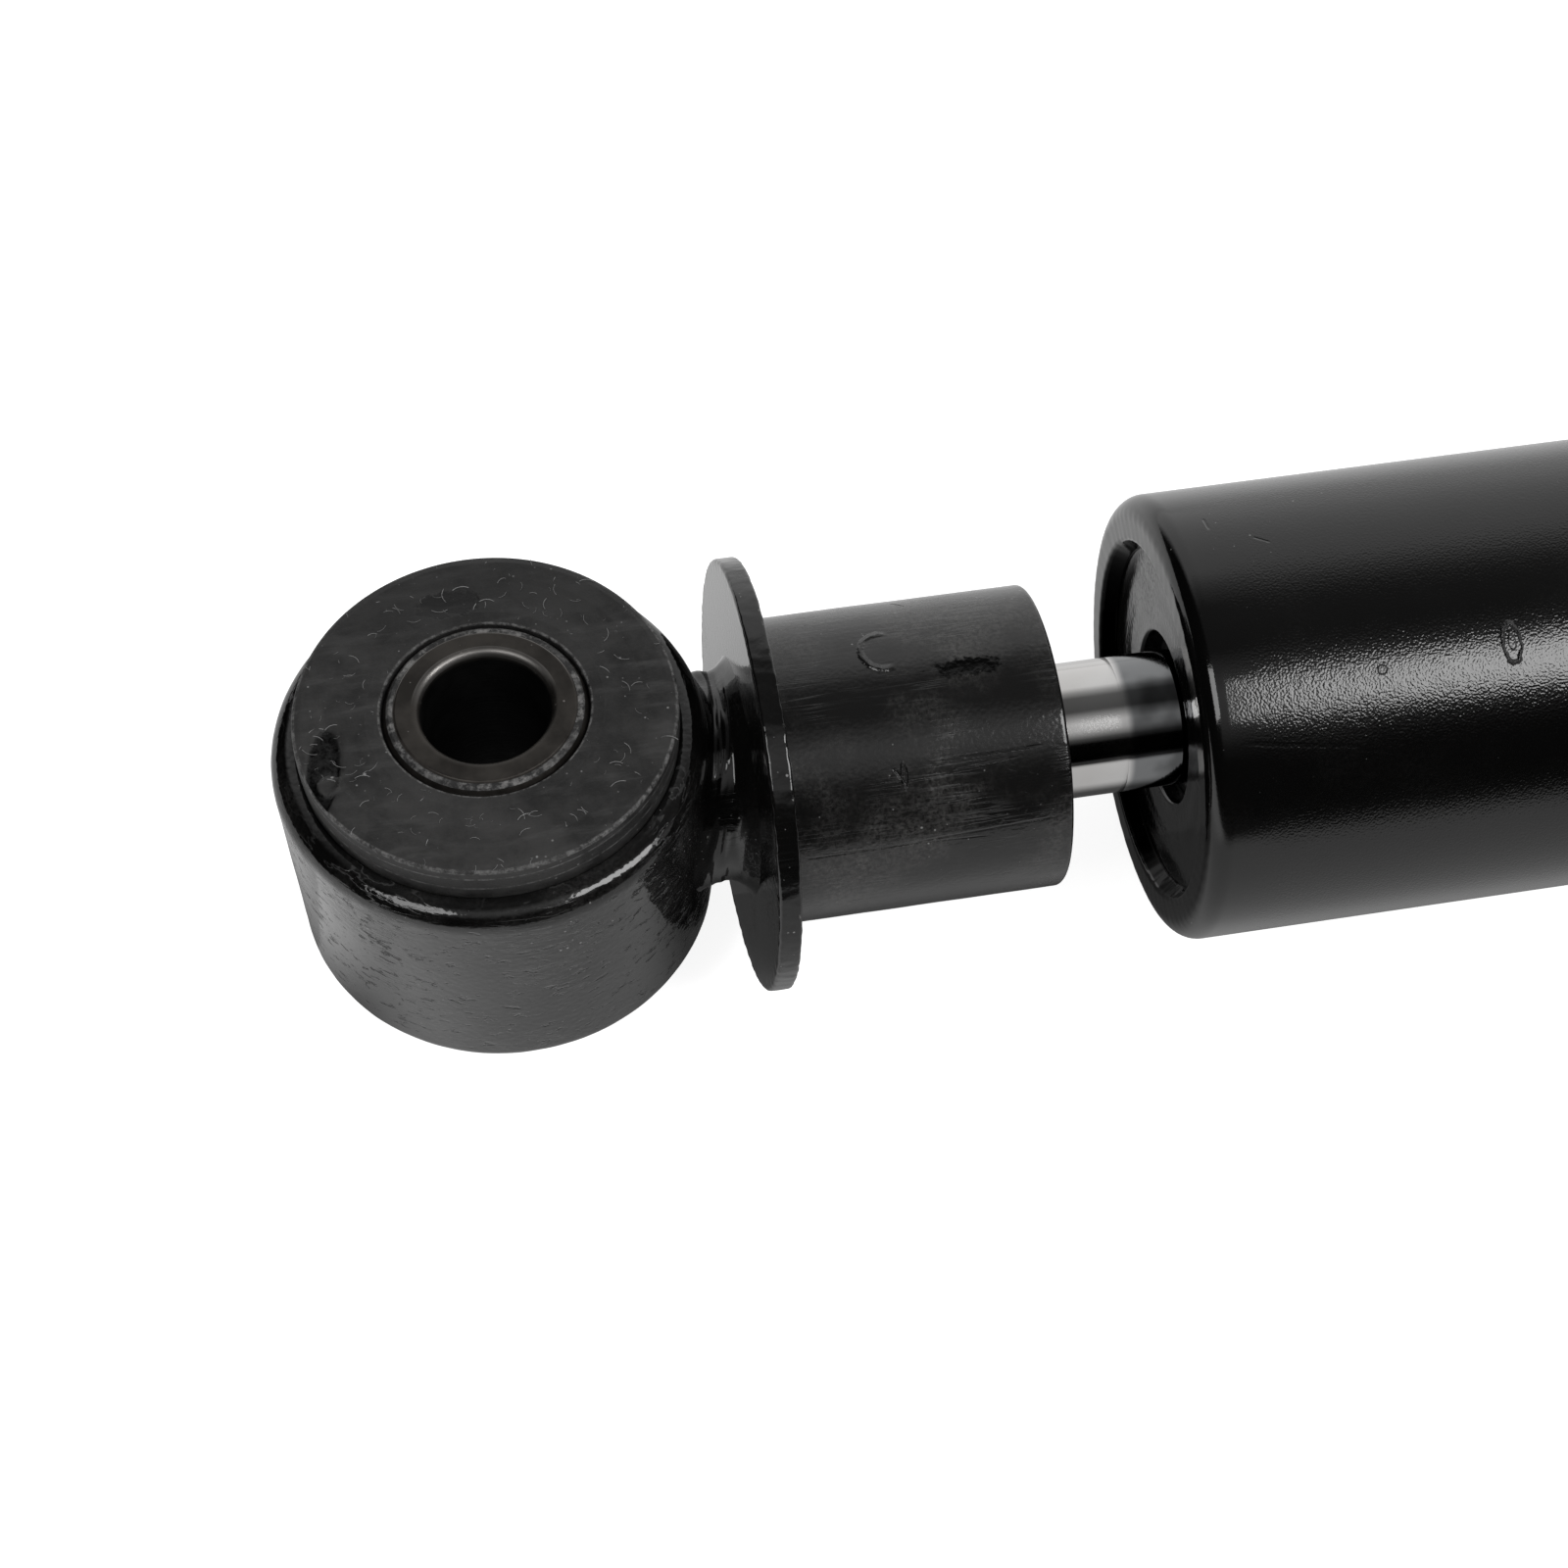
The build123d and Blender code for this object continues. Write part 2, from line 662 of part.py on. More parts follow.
nodes = {
    "rod_eye_ring": eye_ring(0),
    "rod_eye_bushing": eye_bushing(0),
    "rod_eye_sleeve": eye_sleeve(0),
    "rod_eye_weld": weld_neck(ROD_NECK_LENGTH, rod_r),
    "piston_rod": piston_rod(),
    "stop_disc": stop_disc(),
    "travel_collar": travel_collar(),
    "rebound_stop_plate": rebound_stop_plate(),
    "rebound_bumper": rebound_bumper(),
    "piston_check_guide": piston_check_guide(),
    "piston_check_spring": finger_spring(check_guide_x + CHECK_GUIDE_THICKNESS),
    "piston_check_plate": check_plate(check_x),
    "piston_body": piston_body(),
    "piston_band": piston_band(),
    "rebound_shims": shim_stack(shims_x, tail_r),
    "piston_washer": piston_washer(),
    "piston_nut": piston_nut(),
    "reserve_tube": reserve_tube(),
    "end_cap": end_cap(),
    "rod_seal": rod_seal(),
    "seal_garter_spring": garter_spring(),
    "seal_washer": seal_washer(),
    "rod_guide": rod_guide(),
    "guide_bush": guide_bush(),
    "guide_seal_ring": guide_seal_ring(),
    "pressure_tube": pressure_tube(),
    "base_valve_body": base_valve_body(),
    "base_check_plate": check_plate(base_valve_x - CHECK_PLATE_THICKNESS),
    "base_check_spring": finger_spring(pin_head_x + PIN_HEAD),
    "compression_shims": shim_stack(foot_x, pin_r),
    "base_valve_pin": base_valve_pin(),
    "base_cap": base_cap(),
    "base_cap_weld": base_cap_weld(),
    "base_eye_weld": base_side(weld_neck(BASE_NECK_LENGTH, 0)),
    "base_eye_ring": eye_ring(EYE_TO_EYE),
    "base_eye_bushing": eye_bushing(EYE_TO_EYE),
    "base_eye_sleeve": eye_sleeve(EYE_TO_EYE),
}

os.makedirs("parts", exist_ok=True)
for name, shape in nodes.items():
    export_step(shape, f"parts/{name}.step")

print(f"compression left {compression_left:.2f} mm, extension left {extension_left:.2f} mm")
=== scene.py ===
import math

import bmesh
import bpy
from mathutils import Matrix, Vector, noise


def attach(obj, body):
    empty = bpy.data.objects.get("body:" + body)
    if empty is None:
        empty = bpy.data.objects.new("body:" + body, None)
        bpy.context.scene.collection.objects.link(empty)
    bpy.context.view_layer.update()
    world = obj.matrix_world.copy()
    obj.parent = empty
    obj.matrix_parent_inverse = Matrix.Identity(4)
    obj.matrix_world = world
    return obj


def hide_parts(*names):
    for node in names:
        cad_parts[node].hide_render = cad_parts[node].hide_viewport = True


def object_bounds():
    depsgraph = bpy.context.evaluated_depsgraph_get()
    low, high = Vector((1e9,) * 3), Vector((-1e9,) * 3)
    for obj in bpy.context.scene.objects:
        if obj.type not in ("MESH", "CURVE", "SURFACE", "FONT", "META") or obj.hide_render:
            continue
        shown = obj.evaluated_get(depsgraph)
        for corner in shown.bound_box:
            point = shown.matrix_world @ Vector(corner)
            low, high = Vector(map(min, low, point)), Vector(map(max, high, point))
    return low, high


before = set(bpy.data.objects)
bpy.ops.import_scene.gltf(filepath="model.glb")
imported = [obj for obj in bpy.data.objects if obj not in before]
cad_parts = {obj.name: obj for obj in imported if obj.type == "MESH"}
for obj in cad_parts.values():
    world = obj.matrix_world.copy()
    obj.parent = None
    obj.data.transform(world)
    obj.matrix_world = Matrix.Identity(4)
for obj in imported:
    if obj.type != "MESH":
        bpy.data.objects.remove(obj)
cad_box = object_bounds()

# Sizes in millimetres, as the model has them. The rod eye's centre is the origin,
# +X runs along the damper and +Z along both eye bores.
MM = 0.001
EYE_TO_EYE = 266.0
RING_R = 19.0
RING_BORE_R = 16.5
RING_HALF = 11.9
BUSHING_HALF = 15.8
SLEEVE_HALF = 16.0
SLEEVE_R = 8.85
SLEEVE_BORE_R = 5.65
ROD_R = 6.25
DISC_X = 21.7
DISC_END_X = 23.7
DISC_R = 19.8
COLLAR_END_X = 49.5
COLLAR_R = 13.95
COLLAR_BORE_R = 10.95
RIM_X = 59.8
RIM_LIP_R = 16.7
CAP_X = 61.4
CAP_BACK_X = 63.4
CAP_HOLE_R = 8.0
BODY_R = 20.65
BODY_BORE_R = 19.05
BODY_END_X = 242.4
BASE_FACE_X = 246.4
NECK_WAIST_R = 9.3
NECK_FOOT_R = 11.0
NECK_STEPS = 64
PAINT_INSET = 0.004   # keeps the drawn body just inside the model's box
ROD_GROOVE_X = (179.1, 181.1)
ROD_GROOVE_R = 5.65
ROD_SHOULDER_X = 187.1
ROD_TAIL_R = 4.0
ROD_END_X = 213.9
BASE_R = 19.65
BASE_CORNER_R = 4.0
BASE_SKIRT_X = 239.8
BASE_SKIRT_R = 16.55
BASE_INSIDE_X = 243.9
ORIGIN = (0.0, 0.0, 0.0)

# The camera's lens and place in millimetres, its aim, and its roll in degrees
SENSOR_WIDTH = 36.0
LENS = 60.68
CAMERA_PLACE = (1.22, -131.71, 199.62)
CAMERA_AIM = (0.1020, 0.5433, -0.8333)
CAMERA_ROLL = 1.05


def put_in_scene(made):
    """Links an object to the scene."""
    bpy.context.scene.collection.objects.link(made)


# Camera

def aim_camera():
    """The photograph's view: in front, 56 degrees down, rolled by one degree."""
    data = bpy.data.cameras.new("photo_view")
    data.sensor_fit = "HORIZONTAL"
    data.sensor_width = SENSOR_WIDTH
    data.lens = LENS
    data.clip_start = 0.01
    forward = Vector(CAMERA_AIM).normalized()
    level = forward.cross(Vector((0, 0, 1))).normalized()
    raised = level.cross(forward)
    roll = math.radians(CAMERA_ROLL)
    right = level * math.cos(roll) + raised * math.sin(roll)
    up = right.cross(forward)
    camera = bpy.data.objects.new("photo_view", data)
    turn = Matrix((right, up, -forward)).transposed().to_4x4()
    camera.matrix_world = Matrix.Translation(Vector(CAMERA_PLACE) * MM) @ turn
    put_in_scene(camera)
    bpy.context.scene.camera = camera


aim_camera()


# Shader helpers

def node(tree, kind, inputs=None, **settings):
    """A shader node with its settings, and its inputs linked or set."""
    made = tree.nodes.new(kind)
    for name, value in settings.items():
        setattr(made, name, value)
    for name, value in (inputs or {}).items():
        if isinstance(value, bpy.types.NodeSocket):
            tree.links.new(value, made.inputs[name])
        else:
            made.inputs[name].default_value = value
    return made


def maths(tree, operation, *values, clamp=False):
    """The result of one maths node."""
    made = node(tree, "ShaderNodeMath", dict(enumerate(values)), operation=operation, use_clamp=clamp)
    return made.outputs[0]


def times(tree, first, second, clamp=False):
    """The product of two values."""
    return maths(tree, "MULTIPLY", first, second, clamp=clamp)


def minus(tree, first, second):
    """The first value less the second."""
    return maths(tree, "SUBTRACT", first, second)


def vector_maths(tree, operation, first, second=(0.0, 0.0, 0.0)):
    """The result of one vector maths node, as a vector or as a single value."""
    made = node(tree, "ShaderNodeVectorMath", {0: first, 1: second}, operation=operation)
    return made.outputs["Value" if operation in ("LENGTH", "DISTANCE", "DOT_PRODUCT") else "Vector"]


def axis_of(tree, vector, axis):
    """One coordinate of a vector."""
    return node(tree, "ShaderNodeSeparateXYZ", {0: vector}).outputs[axis]


def wear_mark(tree):
    """The wear that each point of a turned piece carries."""
    return node(tree, "ShaderNodeAttribute", attribute_name="wear").outputs["Fac"]


def spread(tree, value, low, high, to_low=0.0, to_high=1.0):
    """A value carried smoothly from one range to another, and held at its ends."""
    ends = {"Value": value, "From Min": low, "From Max": high, "To Min": to_low, "To Max": to_high}
    made = node(tree, "ShaderNodeMapRange", ends, interpolation_type="SMOOTHSTEP")
    return made.outputs["Result"]


def blend_colour(tree, share, first, second):
    """Two colours mixed by a mask."""
    made = tree.nodes.new("ShaderNodeMix")
    made.data_type = "RGBA"
    sockets = made.inputs[0], made.inputs[6], made.inputs[7]
    for socket, value in zip(sockets, (share, first, second)):
        if isinstance(value, bpy.types.NodeSocket):
            tree.links.new(value, socket)
        else:
            socket.default_value = value
    return made.outputs[2]


def coated(tree, base, *coats):
    """A colour under coats, each a mask and its own colour."""
    for mask, colour in coats:
        base = blend_colour(tree, mask, base, colour)
    return base


def grey(level, warmth=0.0):
    """A near-neutral colour. Warmth above zero leans it to brown."""
    return (level * (1 + warmth), level, level * (1 - warmth), 1)


def noise_value(tree, vector, scale, detail=2.0, roughness=0.5, distortion=0.0):
    """Noise from 0 to 1 at a scale in cells per metre."""
    inputs = {"Vector": vector, "Scale": scale, "Detail": detail, "Roughness": roughness,
              "Distortion": distortion}
    return node(tree, "ShaderNodeTexNoise", inputs).outputs["Fac"]


def stretched(tree, vector, x, y, z):
    """Coordinates stretched along the axes."""
    return vector_maths(tree, "MULTIPLY", vector, (x, y, z))


groups = {}


def shader_group(name, inputs, outputs=("Mask",)):
    """An empty shader group kept by its name, with coordinates, named inputs and named outputs."""
    tree = groups[name] = bpy.data.node_groups.new(name, "ShaderNodeTree")
    for label, value in {"Coordinates": ORIGIN, **inputs}.items():
        kind = "NodeSocketVector" if isinstance(value, tuple) else "NodeSocketFloat"
        socket = tree.interface.new_socket(name=label, in_out="INPUT", socket_type=kind)
        socket.default_value = value
    for label in outputs:
        tree.interface.new_socket(name=label, in_out="OUTPUT", socket_type="NodeSocketFloat")
    given = tree.nodes.new("NodeGroupInput").outputs
    end = tree.nodes.new("NodeGroupOutput")
    return tree, given["Coordinates"], given, end.inputs


def edge_wear_group():
    """Mask of bare or polished spots along the edges that a piece marks with its wear attribute."""
    tree, place, given, out = shader_group("edge_wear", {"Grain": 900.0, "Reach": 0.4})
    marked = wear_mark(tree)
    fine = noise_value(tree, place, given["Grain"], 4.0, 0.65)
    broad = noise_value(tree, place, 160.0, 2.0)
    rough = maths(tree, "ADD", times(tree, fine, 0.65), times(tree, broad, 0.55))
    level = minus(tree, maths(tree, "ADD", marked, rough), minus(tree, 2.0, given["Reach"]))
    tree.links.new(spread(tree, level, -0.05, 0.12), out["Mask"])


def orange_peel_group():
    """Height of the fine pebbling in sprayed paint, with slow waves under it."""
    tree, place, given, out = shader_group("orange_peel", {"Pebble": 1600.0, "Waves": 0.5}, ("Height",))
    pebbles = noise_value(tree, place, given["Pebble"], 0.7, 0.5)
    slow = noise_value(tree, place, 90.0, 1.0)
    height = maths(tree, "ADD", pebbles, times(tree, slow, given["Waves"]))
    tree.links.new(height, out["Height"])


def dust_group():
    """Mask of pale dust specks, with each cell's speck at its own size."""
    tree, place, given, out = shader_group("dust", {"Spacing": 700.0, "Share": 0.3})
    cells = {"Vector": place, "Scale": given["Spacing"]}
    cell = node(tree, "ShaderNodeTexVoronoi", cells, feature="F1")
    lot = node(tree, "ShaderNodeSeparateColor", {"Color": cell.outputs["Color"]})
    patches = noise_value(tree, place, 70.0, 3.0, 0.6)
    chosen = maths(tree, "MULTIPLY_ADD", minus(tree, patches, 0.5), 1.6, lot.outputs["Red"])
    size = times(tree, minus(tree, chosen, minus(tree, 1.0, given["Share"])), 0.45)
    mask = spread(tree, minus(tree, size, cell.outputs["Distance"]), -0.02, 0.12)
    tree.links.new(mask, out["Mask"])


def scratches_group():
    """Mask of fine handling scratches, in patches. Stretch lays them along an axis."""
    tree, place, given, out = shader_group("scratches", {"Stretch": (60.0, 900.0, 900.0), "Amount": 0.5})
    laid = vector_maths(tree, "MULTIPLY", place, given["Stretch"])
    lines = noise_value(tree, laid, 1.0, 3.0, 0.55, 0.3)
    thin = spread(tree, maths(tree, "ABSOLUTE", minus(tree, lines, 0.5)), 0.0, 0.03, 1.0, 0.0)
    patches = noise_value(tree, place, 120.0, 2.0, 0.5)
    shown = spread(tree, maths(tree, "ADD", patches, given["Amount"]), 0.85, 1.15)
    tree.links.new(times(tree, thin, shown), out["Mask"])


def spot_group():
    """Masks of one ragged spot: inside it, along its rim, and rising to its middle."""
    inputs = {"Centre": ORIGIN, "Size": (0.001, 0.001, 0.001), "Tear": 0.6}
    tree, place, given, out = shader_group("spot", inputs, ("Inside", "Rim", "Dome"))
    away = vector_maths(tree, "SUBTRACT", place, given["Centre"])
    distance = vector_maths(tree, "LENGTH", vector_maths(tree, "DIVIDE", away, given["Size"]))
    torn = minus(tree, noise_value(tree, place, 1500.0, 3.0), 0.5)
    ragged = maths(tree, "MULTIPLY_ADD", torn, given["Tear"], distance)
    tree.links.new(spread(tree, ragged, 0.75, 1.05, 1.0, 0.0), out["Inside"])
    rim = maths(tree, "ABSOLUTE", minus(tree, ragged, 1.0))
    tree.links.new(spread(tree, rim, 0.0, 0.22, 1.0, 0.0), out["Rim"])
    tree.links.new(spread(tree, ragged, 0.0, 1.05, 1.0, 0.0), out["Dome"])


def cut_group():
    """Mask of one thin scratch from a start to an end, wandering a little and fading at both."""
    inputs = {"Start": ORIGIN, "End": (0.01, 0.0, 0.0), "Width": 0.0002}
    tree, place, given, out = shader_group("cut", inputs)
    away = vector_maths(tree, "SUBTRACT", place, given["Start"])
    run = vector_maths(tree, "SUBTRACT", given["End"], given["Start"])
    reached = vector_maths(tree, "DOT_PRODUCT", away, run)
    share = maths(tree, "DIVIDE", reached, vector_maths(tree, "DOT_PRODUCT", run, run), clamp=True)
    near = node(tree, "ShaderNodeVectorMath", {0: run, "Scale": share}, operation="SCALE").outputs["Vector"]
    gap = vector_maths(tree, "DISTANCE", away, near)
    wander = minus(tree, noise_value(tree, place, 900.0, 3.0), 0.5)
    gap = maths(tree, "MULTIPLY_ADD", wander, times(tree, given["Width"], 0.6), gap)
    line = spread(tree, gap, times(tree, given["Width"], 0.2), given["Width"], 1.0, 0.0)
    fade = times(tree, spread(tree, share, 0.0, 0.15), spread(tree, share, 0.75, 1.0, 1.0, 0.0))
    tree.links.new(times(tree, line, fade), out["Mask"])


edge_wear_group()
orange_peel_group()
dust_group()
scratches_group()
spot_group()
cut_group()


def effect(tree, group, place, output=0, **inputs):
    """One output of a shared effect placed in a material."""
    made = tree.nodes.new("ShaderNodeGroup")
    made.node_tree = groups[group]
    tree.links.new(place, made.inputs["Coordinates"])
    for label, value in inputs.items():
        if isinstance(value, bpy.types.NodeSocket):
            tree.links.new(value, made.inputs[label])
        else:
            made.inputs[label].default_value = value
    return made.outputs[output]


finishes = {}


def empty_nodes(holder):
    """The node tree of a material or a world, with nothing in it yet."""
    holder.use_nodes = True
    holder.node_tree.nodes.clear()
    return holder.node_tree


def new_finish(name, **constants):
    """A material kept by its name: its tree, its shader with constants, and the object's coordinates."""
    finishes[name] = bpy.data.materials.new(name)
    tree = empty_nodes(finishes[name])
    shader = tree.nodes.new("ShaderNodeBsdfPrincipled")
    output = tree.nodes.new("ShaderNodeOutputMaterial")
    tree.links.new(shader.outputs["BSDF"], output.inputs["Surface"])
    for label, value in constants.items():
        shader.inputs[label.replace("_", " ")].default_value = value
    place = tree.nodes.new("ShaderNodeTexCoord").outputs["Object"]
    return tree, shader, place


def feed(tree, shader, label, value):
    """Links a value to one of the shader's inputs."""
    tree.links.new(value, shader.inputs[label])


def raise_bumps(tree, shader, *heights):
    """Bump nodes in a row, each as (height, distance in metres, strength)."""
    normal = None
    for height, distance, strength in heights:
        bump = node(tree, "ShaderNodeBump", {"Height": height, "Distance": distance, "Strength": strength})
        if normal is not None:
            tree.links.new(normal, bump.inputs["Normal"])
        normal = bump.outputs["Normal"]
    feed(tree, shader, "Normal", normal)


# Finishes

def black_paint(name, smooth=0.10, scuffed=0.2, peel=0.4, pebble=2600.0, stretch=(40.0, 1500.0, 1500.0),
                wear=0.35, dust=0.16, scuff=0.4, scratch=0.1, film=0.0028, haze=0.012, pits=0.0, calm=None,
                blisters=(), smears=(), crescents=(), cuts=()):
    """Sprayed black paint: pebbled, scuffed where it is handled, bright where its edges are chipped.

    A wear below zero marks a wall that is drawn black, as painted shade.
    """
    tree, shader, place = new_finish(name, Specular_IOR_Level=0.5, IOR=1.5)
    worn = effect(tree, "edge_wear", place, Grain=620.0, Reach=wear)
    specks = effect(tree, "dust", place, Spacing=1700.0, Share=dust)
    lines = effect(tree, "scratches", place, Stretch=stretch, Amount=scuff)
    cloud = noise_value(tree, place, 85.0, 5.0, 0.62)
    fine = noise_value(tree, place, 2600.0, 4.0, 0.7)
    rubbed = times(tree, spread(tree, cloud, 0.42, 0.68), spread(tree, fine, 0.3, 0.75))
    base = blend_colour(tree, rubbed, grey(film, 0.02), grey(haze, 0.03))
    marked = wear_mark(tree)
    # Painted shade: walls marked below zero are drawn black through the metallic input.
    painted_shade_and_smear = spread(tree, marked, -0.9, -0.1, 1.0, 0.0)
    drops = []
    for centre, size in smears:
        torn = {"Centre": centre, "Size": size, "Tear": 1.3}
        smear = effect(tree, "spot", place, **torn)
        drops.append((effect(tree, "spot", place, 2, **torn), -0.00008, 1.0))
        base = blend_colour(tree, smear, base, grey(0.0010))
        # A real dark smear of paint also darkens through the same mask as the painted shade.
        painted_shade_and_smear = maths(tree, "MAXIMUM", painted_shade_and_smear, times(tree, smear, 0.6))
    base = coated(tree, base, (times(tree, lines, scratch), grey(0.16)),
                  (times(tree, specks, 0.6), grey(0.30)), (worn, grey(0.34, 0.02)))
    feed(tree, shader, "Base Color", base)
    rough = spread(tree, rubbed, 0.0, 1.0, smooth, scuffed)
    rough = maths(tree, "MULTIPLY_ADD", lines, 0.10, rough)
    feed(tree, shader, "Roughness", maths(tree, "MULTIPLY_ADD", worn, 0.12, rough))
    feed(tree, shader, "Metallic", maths(tree, "MAXIMUM", painted_shade_and_smear, times(tree, worn, 0.5)))
    along = axis_of(tree, place, "X")
    pebbles = effect(tree, "orange_peel", place, Pebble=pebble)
    if calm:
        pebbles = times(tree, pebbles, spread(tree, along, calm, calm + 0.006, 0.15, 1.0))
    bumps = [(pebbles, 0.00006, peel), (lines, 0.00002, 0.5), (worn, 0.00005, 0.6)]
    if pits:
        hollow = noise_value(tree, stretched(tree, place, 620.0, 620.0, 1400.0), 1.0, 4.0, 0.62, 0.4)
        hollow = spread(tree, hollow, 0.58, 0.70, 0.0, 1.0)
        height = maths(tree, "ABSOLUTE", axis_of(tree, place, "Z"))
        side = spread(tree, height, 0.0094, 0.0106, 1.0, 0.0)
        bumps.append((times(tree, hollow, side), -0.00016, pits))
    for centre, size in blisters:
        rim = effect(tree, "spot", place, 1, Centre=centre, Size=size)
        core_size = tuple(0.45 * half for half in size)
        core = effect(tree, "spot", place, Centre=centre, Size=core_size)
        bumps.append((maths(tree, "ADD", rim, core), 0.00022, 1.0))
    for centre, size in crescents:
        rim = effect(tree, "spot", place, 1, Centre=centre, Size=size, Tear=0.18)
        cut = spread(tree, along, centre[0] - 0.1 * size[0], centre[0] + 0.5 * size[0], 1.0, 0.0)
        bumps.append((times(tree, rim, cut), 0.00018, 1.0))
    for start, end, width, depth in cuts:
        mark = effect(tree, "cut", place, Start=start, End=end, Width=width)
        bumps.append((mark, -depth, 1.0))
    raise_bumps(tree, shader, *bumps, *drops)


# A rough patch in the rubber's face: its centre and size
TORN_PATCH = ((-0.0020, 0.0115, 0.0158), (0.0031, 0.0016, 0.0010))


def rubber():
    """Moulded rubber: matt and dusty, pale along its edges, dark and shiny where its gate was torn off, and
    drawn darker towards its far side as painted shade.
    """
    tree, shader, place = new_finish("rubber", Specular_IOR_Level=0.32)
    marked = wear_mark(tree)
    torn = spread(tree, marked, -0.8, -0.15, 1.0, 0.0)
    nick = effect(tree, "spot", place, Centre=TORN_PATCH[0], Size=TORN_PATCH[1], Tear=0.9)
    cloud = noise_value(tree, place, 110.0, 6.0, 0.68)
    streaks = noise_value(tree, stretched(tree, place, 120.0, 620.0, 900.0), 1.0, 4.0, 0.65)
    fine = noise_value(tree, place, 1700.0, 5.0, 0.75)
    specks = effect(tree, "dust", place, Spacing=1500.0, Share=0.42)
    worn = effect(tree, "edge_wear", place, Grain=1500.0, Reach=0.5)
    base = blend_colour(tree, spread(tree, cloud, 0.35, 0.65), grey(0.007, 0.01), grey(0.029, 0.02))
    bloom = times(tree, spread(tree, marked, 0.1, 0.9), spread(tree, fine, 0.38, 0.66))
    # Painted shade: the face is drawn darker towards its far side (+Y).
    painted_shade_backward = maths(tree, "MULTIPLY_ADD", cloud, 0.010, axis_of(tree, place, "Y"))
    base = coated(
        tree, base,
        (times(tree, spread(tree, streaks, 0.5, 0.72), 0.5), grey(0.05, 0.01)),
        (times(tree, bloom, 0.8), grey(0.15, 0.01)),
        (times(tree, worn, 0.5), grey(0.20, 0.01)),
        (times(tree, specks, 0.65), grey(0.26)),
        (spread(tree, painted_shade_backward, 0.008, 0.020, 0.0, 0.45), grey(0.004)),
        (times(tree, nick, spread(tree, streaks, 0.35, 0.5, 0.3, 0.9)), grey(0.003)),
        (torn, grey(0.005)))
    feed(tree, shader, "Base Color", base)
    rough = spread(tree, cloud, 0.3, 0.7, 0.44, 0.62)
    feed(tree, shader, "Roughness", maths(tree, "MULTIPLY_ADD", torn, -0.12, rough))
    feed(tree, shader, "Metallic", times(tree, torn, spread(tree, fine, 0.35, 0.6, 1.0, 0.3)))
    raise_bumps(tree, shader, (fine, 0.00008, 0.8), (cloud, 0.00018, 0.5), (nick, -0.00010, 0.8))


def lint_fibre():
    """Pale dusty fibre."""
    tree, shader, place = new_finish("lint", Specular_IOR_Level=0.2)
    cloud = noise_value(tree, place, 500.0, 2.0)
    feed(tree, shader, "Base Color", blend_colour(tree, cloud, grey(0.06), grey(0.34)))
    feed(tree, shader, "Roughness", spread(tree, cloud, 0.3, 0.7, 0.7, 0.9))


def sleeve_steel():
    """Dull brownish steel of the sleeves, turned inside, polished at its corners. The bore's mouth is drawn
    brighter on its far side as a painted highlight, and the bore deeper in is drawn near black as painted
    shade.
    """
    tree, shader, place = new_finish("sleeve_steel", Specular_IOR_Level=0.5)
    marked = wear_mark(tree)
    specks = effect(tree, "dust", place, Spacing=1500.0, Share=0.36)
    cloud = noise_value(tree, place, 260.0, 4.0, 0.6)
    fine = noise_value(tree, place, 1100.0, 5.0, 0.72)
    rings = noise_value(tree, stretched(tree, place, 60.0, 60.0, 4200.0), 1.0, 2.0)
    # Painted shade: the bore is drawn near black, and less metallic, deeper than about a millimetre in.
    height = maths(tree, "ABSOLUTE", axis_of(tree, place, "Z"))
    painted_bore_shade = spread(tree, height, 0.0148, 0.0156, 1.0, 0.0)
    bright = times(tree, spread(tree, marked, 0.5, 0.9), spread(tree, marked, 1.0, 1.2, 1.0, 0.0))
    flash = spread(tree, marked, 1.1, 1.6)
    base = blend_colour(tree, spread(tree, cloud, 0.3, 0.7), grey(0.022, 0.10), grey(0.050, 0.10))
    # The bore's rounded mouth is drawn brighter only on its far side (+Y): polish, with a painted highlight
    # where it faces the light.
    across = axis_of(tree, place, "Y")
    rubbed = times(tree, bright, spread(tree, across, 0.0005, 0.0045, 0.0, 0.95))
    rubbed = times(tree, rubbed, spread(tree, rings, 0.3, 0.6, 0.3, 1.0))
    dusty = times(tree, spread(tree, fine, 0.42, 0.66), spread(tree, cloud, 0.35, 0.6, 0.25, 1.0))
    dusty = blend_colour(tree, dusty, grey(0.010), grey(0.17, 0.02))
    base = coated(tree, base, (rubbed, grey(0.24, 0.04)), (flash, dusty),
                  (times(tree, specks, 0.6), grey(0.40, 0.05)), (painted_bore_shade, grey(0.0015)))
    feed(tree, shader, "Base Color", base)
    rough = spread(tree, cloud, 0.3, 0.7, 0.34, 0.5)
    feed(tree, shader, "Roughness", maths(tree, "MULTIPLY_ADD", flash, 0.3, rough))
    metal = times(tree, spread(tree, painted_bore_shade, 0.0, 1.0, 0.85, 0.3), minus(tree, 1.0, flash))
    feed(tree, shader, "Metallic", metal)
    ragged = times(tree, fine, flash)
    raise_bumps(tree, shader, (rings, 0.00004, 0.5), (cloud, 0.00005, 0.4), (ragged, 0.00020, 0.8))


RIM_SHADE_X = (0.0566, 0.0650)   # the length of rod drawn darker by the cap as painted shade of the rim, in metres
